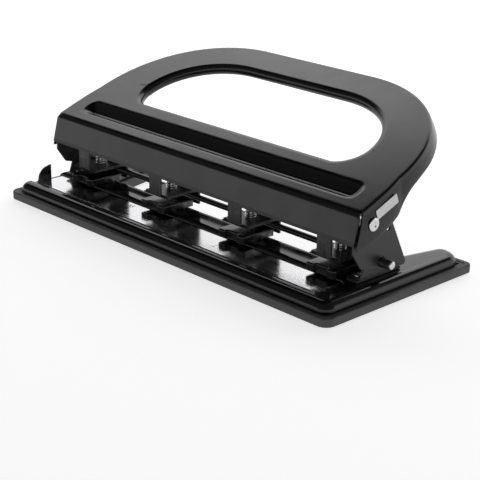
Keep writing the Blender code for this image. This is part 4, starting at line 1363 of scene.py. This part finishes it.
def make_camera():
    """Camera above the front right corner, looking down along the row of heads."""
    data = bpy.data.cameras.new("studio_camera")
    data.lens = CAMERA_LENS
    data.sensor_width = SENSOR_WIDTH
    camera = bpy.data.objects.new("studio_camera", data)
    across = math.cos(CAMERA_PITCH)
    ahead = Vector((math.sin(CAMERA_YAW) * across, math.cos(CAMERA_YAW) * across, -math.sin(CAMERA_PITCH)))
    right = Vector((math.cos(CAMERA_YAW), -math.sin(CAMERA_YAW), 0.0))
    up = right.cross(ahead)
    tilted_right = right * math.cos(CAMERA_ROLL) + up * math.sin(CAMERA_ROLL)
    tilted_up = tilted_right.cross(ahead)
    turned = Matrix((tilted_right, tilted_up, -ahead)).transposed()
    camera.matrix_world = Matrix.Translation(CAMERA_AT) @ turned.to_4x4()
    bpy.context.scene.collection.objects.link(camera)
    bpy.context.scene.camera = camera


def sheet_of(name, corners, height):
    """Flat square of the stage, from corners in metres and a height in millimetres."""
    points = [(x / MM, (y - FRONT_Y) / MM, height) for x, y in corners]
    return piece_from(name, points, [(0, 1, 2, 3)])


def make_floor():
    """Pale floor with a soft glow, so that the shadows stay light."""
    side = FLOOR_HALF
    near = FRONT_Y - side
    far = FRONT_Y + side
    floor = sheet_of("studio_floor", [(-side, near), (side, near), (side, far), (-side, far)], -FLOOR_GAP)
    made = bpy.data.materials.new("pale floor")
    made.use_nodes = True
    tree = made.node_tree
    shader = tree.nodes["Principled BSDF"]
    shader.inputs["Roughness"].default_value = 0.9
    shader.inputs["Specular IOR Level"].default_value = 0.1
    coords = node_in(tree, "ShaderNodeTexCoord").outputs["Object"]
    cloud = noise_of(tree, coords, 3.0)
    tone = blend_colour(tree, cloud, (0.80, 0.80, 0.80), (0.82, 0.82, 0.82))
    tree.links.new(tone, shader.inputs["Base Color"])
    shader.inputs["Emission Color"].default_value = (1.0, 1.0, 1.0, 1.0)
    ray = node_in(tree, "ShaderNodeLightPath").outputs["Is Camera Ray"]
    glow = maths(tree, "ADD", maths(tree, "MULTIPLY", ray, FLOOR_GLOW_SEEN), FLOOR_GLOW)
    tree.links.new(glow, shader.inputs["Emission Strength"])
    floor.data.materials.append(made)


def make_softbox():
    """Large soft light overhead and to the rear left, fading out towards its front right edge."""
    corners = [BOX_LOW, (BOX_LOW[0], BOX_HIGH[1]), BOX_HIGH, (BOX_HIGH[0], BOX_LOW[1])]
    box = sheet_of("studio_softbox", corners, BOX_HEIGHT / MM)
    made = bpy.data.materials.new("softbox cloth")
    made.use_nodes = True
    tree = made.node_tree
    tree.nodes.clear()
    out = node_in(tree, "ShaderNodeOutputMaterial")
    glow = node_in(tree, "ShaderNodeEmission")
    coords = node_in(tree, "ShaderNodeTexCoord").outputs["Object"]
    apart = node_in(tree, "ShaderNodeSeparateXYZ")
    tree.links.new(coords, apart.inputs[0])
    slant = maths(tree, "ADD", maths(tree, "MULTIPLY", apart.outputs["X"], -1.0),
                  maths(tree, "MULTIPLY", apart.outputs["Y"], 2.0))
    near = remap(tree, slant, 1.30, 1.85, 0.0, 1.0)
    far = remap(tree, apart.outputs["X"], -1.7, -0.9, 0.55, 1.0)
    level = maths(tree, "MULTIPLY", maths(tree, "MULTIPLY", near, far), BOX_STRENGTH)
    strength = maths(tree, "MULTIPLY", level, bpy.context.scene.punch_stage.light)
    tree.links.new(strength, glow.inputs["Strength"])
    tree.links.new(glow.outputs[0], out.inputs["Surface"])
    box.data.materials.append(made)
    box.visible_camera = False
    box.visible_shadow = False


def make_studio_light():
    """Soft room light: a bright back and overhead half, a dim front and a white horizon."""
    world = bpy.data.worlds.new("studio")
    bpy.context.scene.world = world
    world.use_nodes = True
    tree = world.node_tree
    tree.nodes.clear()
    out = node_in(tree, "ShaderNodeOutputWorld")
    coords = node_in(tree, "ShaderNodeTexCoord").outputs["Generated"]
    apart = node_in(tree, "ShaderNodeSeparateXYZ")
    tree.links.new(coords, apart.inputs[0])
    x, y, z = apart.outputs
    behind = maths(tree, "ADD", maths(tree, "MULTIPLY", x, -0.3), maths(tree, "MULTIPLY", y, 0.954))
    wall_top = remap(tree, behind, 0.25, 0.60, 0.15, 0.50)
    over_wall = maths(tree, "SUBTRACT", z, wall_top)
    level = remap(tree, over_wall, -0.04, 0.04, WALL_BRIGHT, WALL_DIM)
    seen = node_in(tree, "ShaderNodeBackground")
    seen.inputs["Color"].default_value = (1.0, 1.0, 1.0, 1.0)
    seen.inputs["Strength"].default_value = WALL_BRIGHT
    lit = node_in(tree, "ShaderNodeBackground")
    lit.inputs["Color"].default_value = (1.0, 0.995, 1.0, 1.0)
    strength = maths(tree, "MULTIPLY", level, bpy.context.scene.punch_stage.light)
    tree.links.new(strength, lit.inputs["Strength"])
    ray = node_in(tree, "ShaderNodeLightPath").outputs["Is Camera Ray"]
    chosen = node_in(tree, "ShaderNodeMixShader")
    tree.links.new(ray, chosen.inputs[0])
    tree.links.new(lit.outputs[0], chosen.inputs[1])
    tree.links.new(seen.outputs[0], chosen.inputs[2])
    tree.links.new(chosen.outputs[0], out.inputs["Surface"])
    bpy.context.scene.view_settings.view_transform = "Standard"


# --- settings ----------------------------------------------------------------------------------------
def colour_setting(name, description, value):
    """A colour that the panel shows."""
    return bpy.props.FloatVectorProperty(name=name, description=description, default=value, size=3, min=0.0,
                                         max=1.0, subtype="COLOR")


def length_setting(name, description, value_mm):
    """A length that the panel shows, given in millimetres."""
    return bpy.props.FloatProperty(name=name, description=description, default=value_mm * MM, min=0.0,
                                   unit="LENGTH", subtype="DISTANCE", precision=4)


class PunchSizes(bpy.types.PropertyGroup):
    """Sizes that a maker would change."""
    plate_edge: length_setting("Plate edge", "Radius of the base plate's rounded top edge", 6.2)
    channel_lip: length_setting("Channel lip", "Radius of the ruler channel's upper edges", 3.1)
    spring_wire: length_setting("Spring wire", "Diameter of the return springs' wire", 0.9)
    spring_turns: bpy.props.FloatProperty(name="Spring turns", description="Turns in each return spring",
                                          default=6.5, min=3.0, max=12.0)


class PunchColours(bpy.types.PropertyGroup):
    """Colours of the finishes."""
    enamel: colour_setting("Enamel", "Black enamel of the handle and base plate", (0.0065, 0.0065, 0.0075))
    satin: colour_setting("Satin enamel", "Black enamel of the side plates and feet", (0.034, 0.034, 0.037))
    tray: colour_setting("Tray", "Moulded plastic of the chip tray", (0.085, 0.085, 0.09))
    die: colour_setting("Dies", "Blacked steel of the die blocks", (0.07, 0.07, 0.071))
    frame: colour_setting("Head frames", "Black sheet of the punch heads", (0.04, 0.04, 0.041))
    ruler: colour_setting("Ruler", "Polished steel of the ruler", (0.78, 0.78, 0.79))
    steel: colour_setting("Pins", "Ground steel of the pins and collars", (0.6, 0.6, 0.61))
    spring: colour_setting("Springs", "Bright wire of the return springs", (0.8, 0.8, 0.8))
    zinc: colour_setting("Zinc", "Zinc plating of the screws and pin end", (0.75, 0.75, 0.76))
    rivet: colour_setting("Rivets", "Polished steel of the pivot rivets", (0.85, 0.85, 0.86))
    label: colour_setting("Label", "Paper of the side label", (0.97, 0.97, 0.97))


class PunchStage(bpy.types.PropertyGroup):
    """Values of the studio."""
    light: bpy.props.FloatProperty(name="Light", description="Strength of the soft studio light", default=1.0,
                                   min=0.0)


# --- operators ---------------------------------------------------------------------------------------
class PUNCH_OT_tray(bpy.types.Operator):
    """Build the moulded chip tray and its rubber feet"""
    bl_idname = "punch.tray"
    bl_label = "Chip tray and rubber feet"

    def execute(self, context):
        make_tray()
        make_pads()
        return {"FINISHED"}


class PUNCH_OT_base_plate(bpy.types.Operator):
    """Build the pressed base plate with its ruler channel"""
    bl_idname = "punch.base_plate"
    bl_label = "Base plate"

    def execute(self, context):
        make_base_plate()
        return {"FINISHED"}


class PUNCH_OT_ruler(bpy.types.Operator):
    """Build the sliding ruler with its paper stop and marks"""
    bl_idname = "punch.ruler"
    bl_label = "Ruler"

    def execute(self, context):
        make_ruler()
        return {"FINISHED"}


class PUNCH_OT_heads(bpy.types.Operator):
    """Build the four die blocks and head frames"""
    bl_idname = "punch.heads"
    bl_label = "Die blocks and head frames"

    def execute(self, context):
        make_dies()
        make_head_frames()
        return {"FINISHED"}


class PUNCH_OT_pins(bpy.types.Operator):
    """Build the punch pins, collars and return springs"""
    bl_idname = "punch.pins"
    bl_label = "Pins, collars and springs"

    def execute(self, context):
        make_pins()
        make_springs()
        return {"FINISHED"}


class PUNCH_OT_brackets(bpy.types.Operator):
    """Build the side plates, feet, screws and rivets"""
    bl_idname = "punch.brackets"
    bl_label = "Side plates, feet and rivets"

    def execute(self, context):
        make_brackets()
        make_feet()
        make_rivets()
        return {"FINISHED"}


class PUNCH_OT_rods(bpy.types.Operator):
    """Build the paper stop rod, press bar and lock pin"""
    bl_idname = "punch.rods"
    bl_label = "Rod, press bar and lock pin"

    def execute(self, context):
        make_rod()
        make_press_bar()
        make_lock()
        return {"FINISHED"}


class PUNCH_OT_handle(bpy.types.Operator):
    """Build the pressed handle, its rib and its label"""
    bl_idname = "punch.handle"
    bl_label = "Handle"

    def execute(self, context):
        make_handle()
        make_rib()
        make_label()
        return {"FINISHED"}


class PUNCH_OT_stage(bpy.types.Operator):
    """Set up the floor, the soft light and the camera"""
    bl_idname = "punch.stage"
    bl_label = "Studio"

    def execute(self, context):
        make_floor()
        make_softbox()
        make_studio_light()
        make_camera()
        return {"FINISHED"}


OPERATORS = (PUNCH_OT_tray, PUNCH_OT_base_plate, PUNCH_OT_ruler, PUNCH_OT_heads, PUNCH_OT_pins,
             PUNCH_OT_brackets, PUNCH_OT_rods, PUNCH_OT_handle, PUNCH_OT_stage)


class PUNCH_PT_panel(bpy.types.Panel):
    """Lists the builders and the settings"""
    bl_idname = "PUNCH_PT_panel"
    bl_label = "Desk Punch"
    bl_space_type = "VIEW_3D"
    bl_region_type = "UI"
    bl_category = "Desk Punch"

    def draw(self, context):
        for operator in OPERATORS:
            self.layout.operator(operator.bl_idname)
        for settings in (context.scene.punch_sizes, context.scene.punch_colours, context.scene.punch_stage):
            for label in settings.__annotations__:
                self.layout.prop(settings, label)


CLASSES = (PunchSizes, PunchColours, PunchStage, *OPERATORS, PUNCH_PT_panel)


def register():
    for part in CLASSES:
        bpy.utils.register_class(part)
    bpy.types.Scene.punch_sizes = bpy.props.PointerProperty(type=PunchSizes)
    bpy.types.Scene.punch_colours = bpy.props.PointerProperty(type=PunchColours)
    bpy.types.Scene.punch_stage = bpy.props.PointerProperty(type=PunchStage)


def unregister():
    del bpy.types.Scene.punch_stage
    del bpy.types.Scene.punch_colours
    del bpy.types.Scene.punch_sizes
    for part in reversed(CLASSES):
        bpy.utils.unregister_class(part)


def main():
    register()
    for operator in OPERATORS:
        family, name = operator.bl_idname.split(".")
        getattr(getattr(bpy.ops, family), name)()


if __name__ == "__main__":
    main()
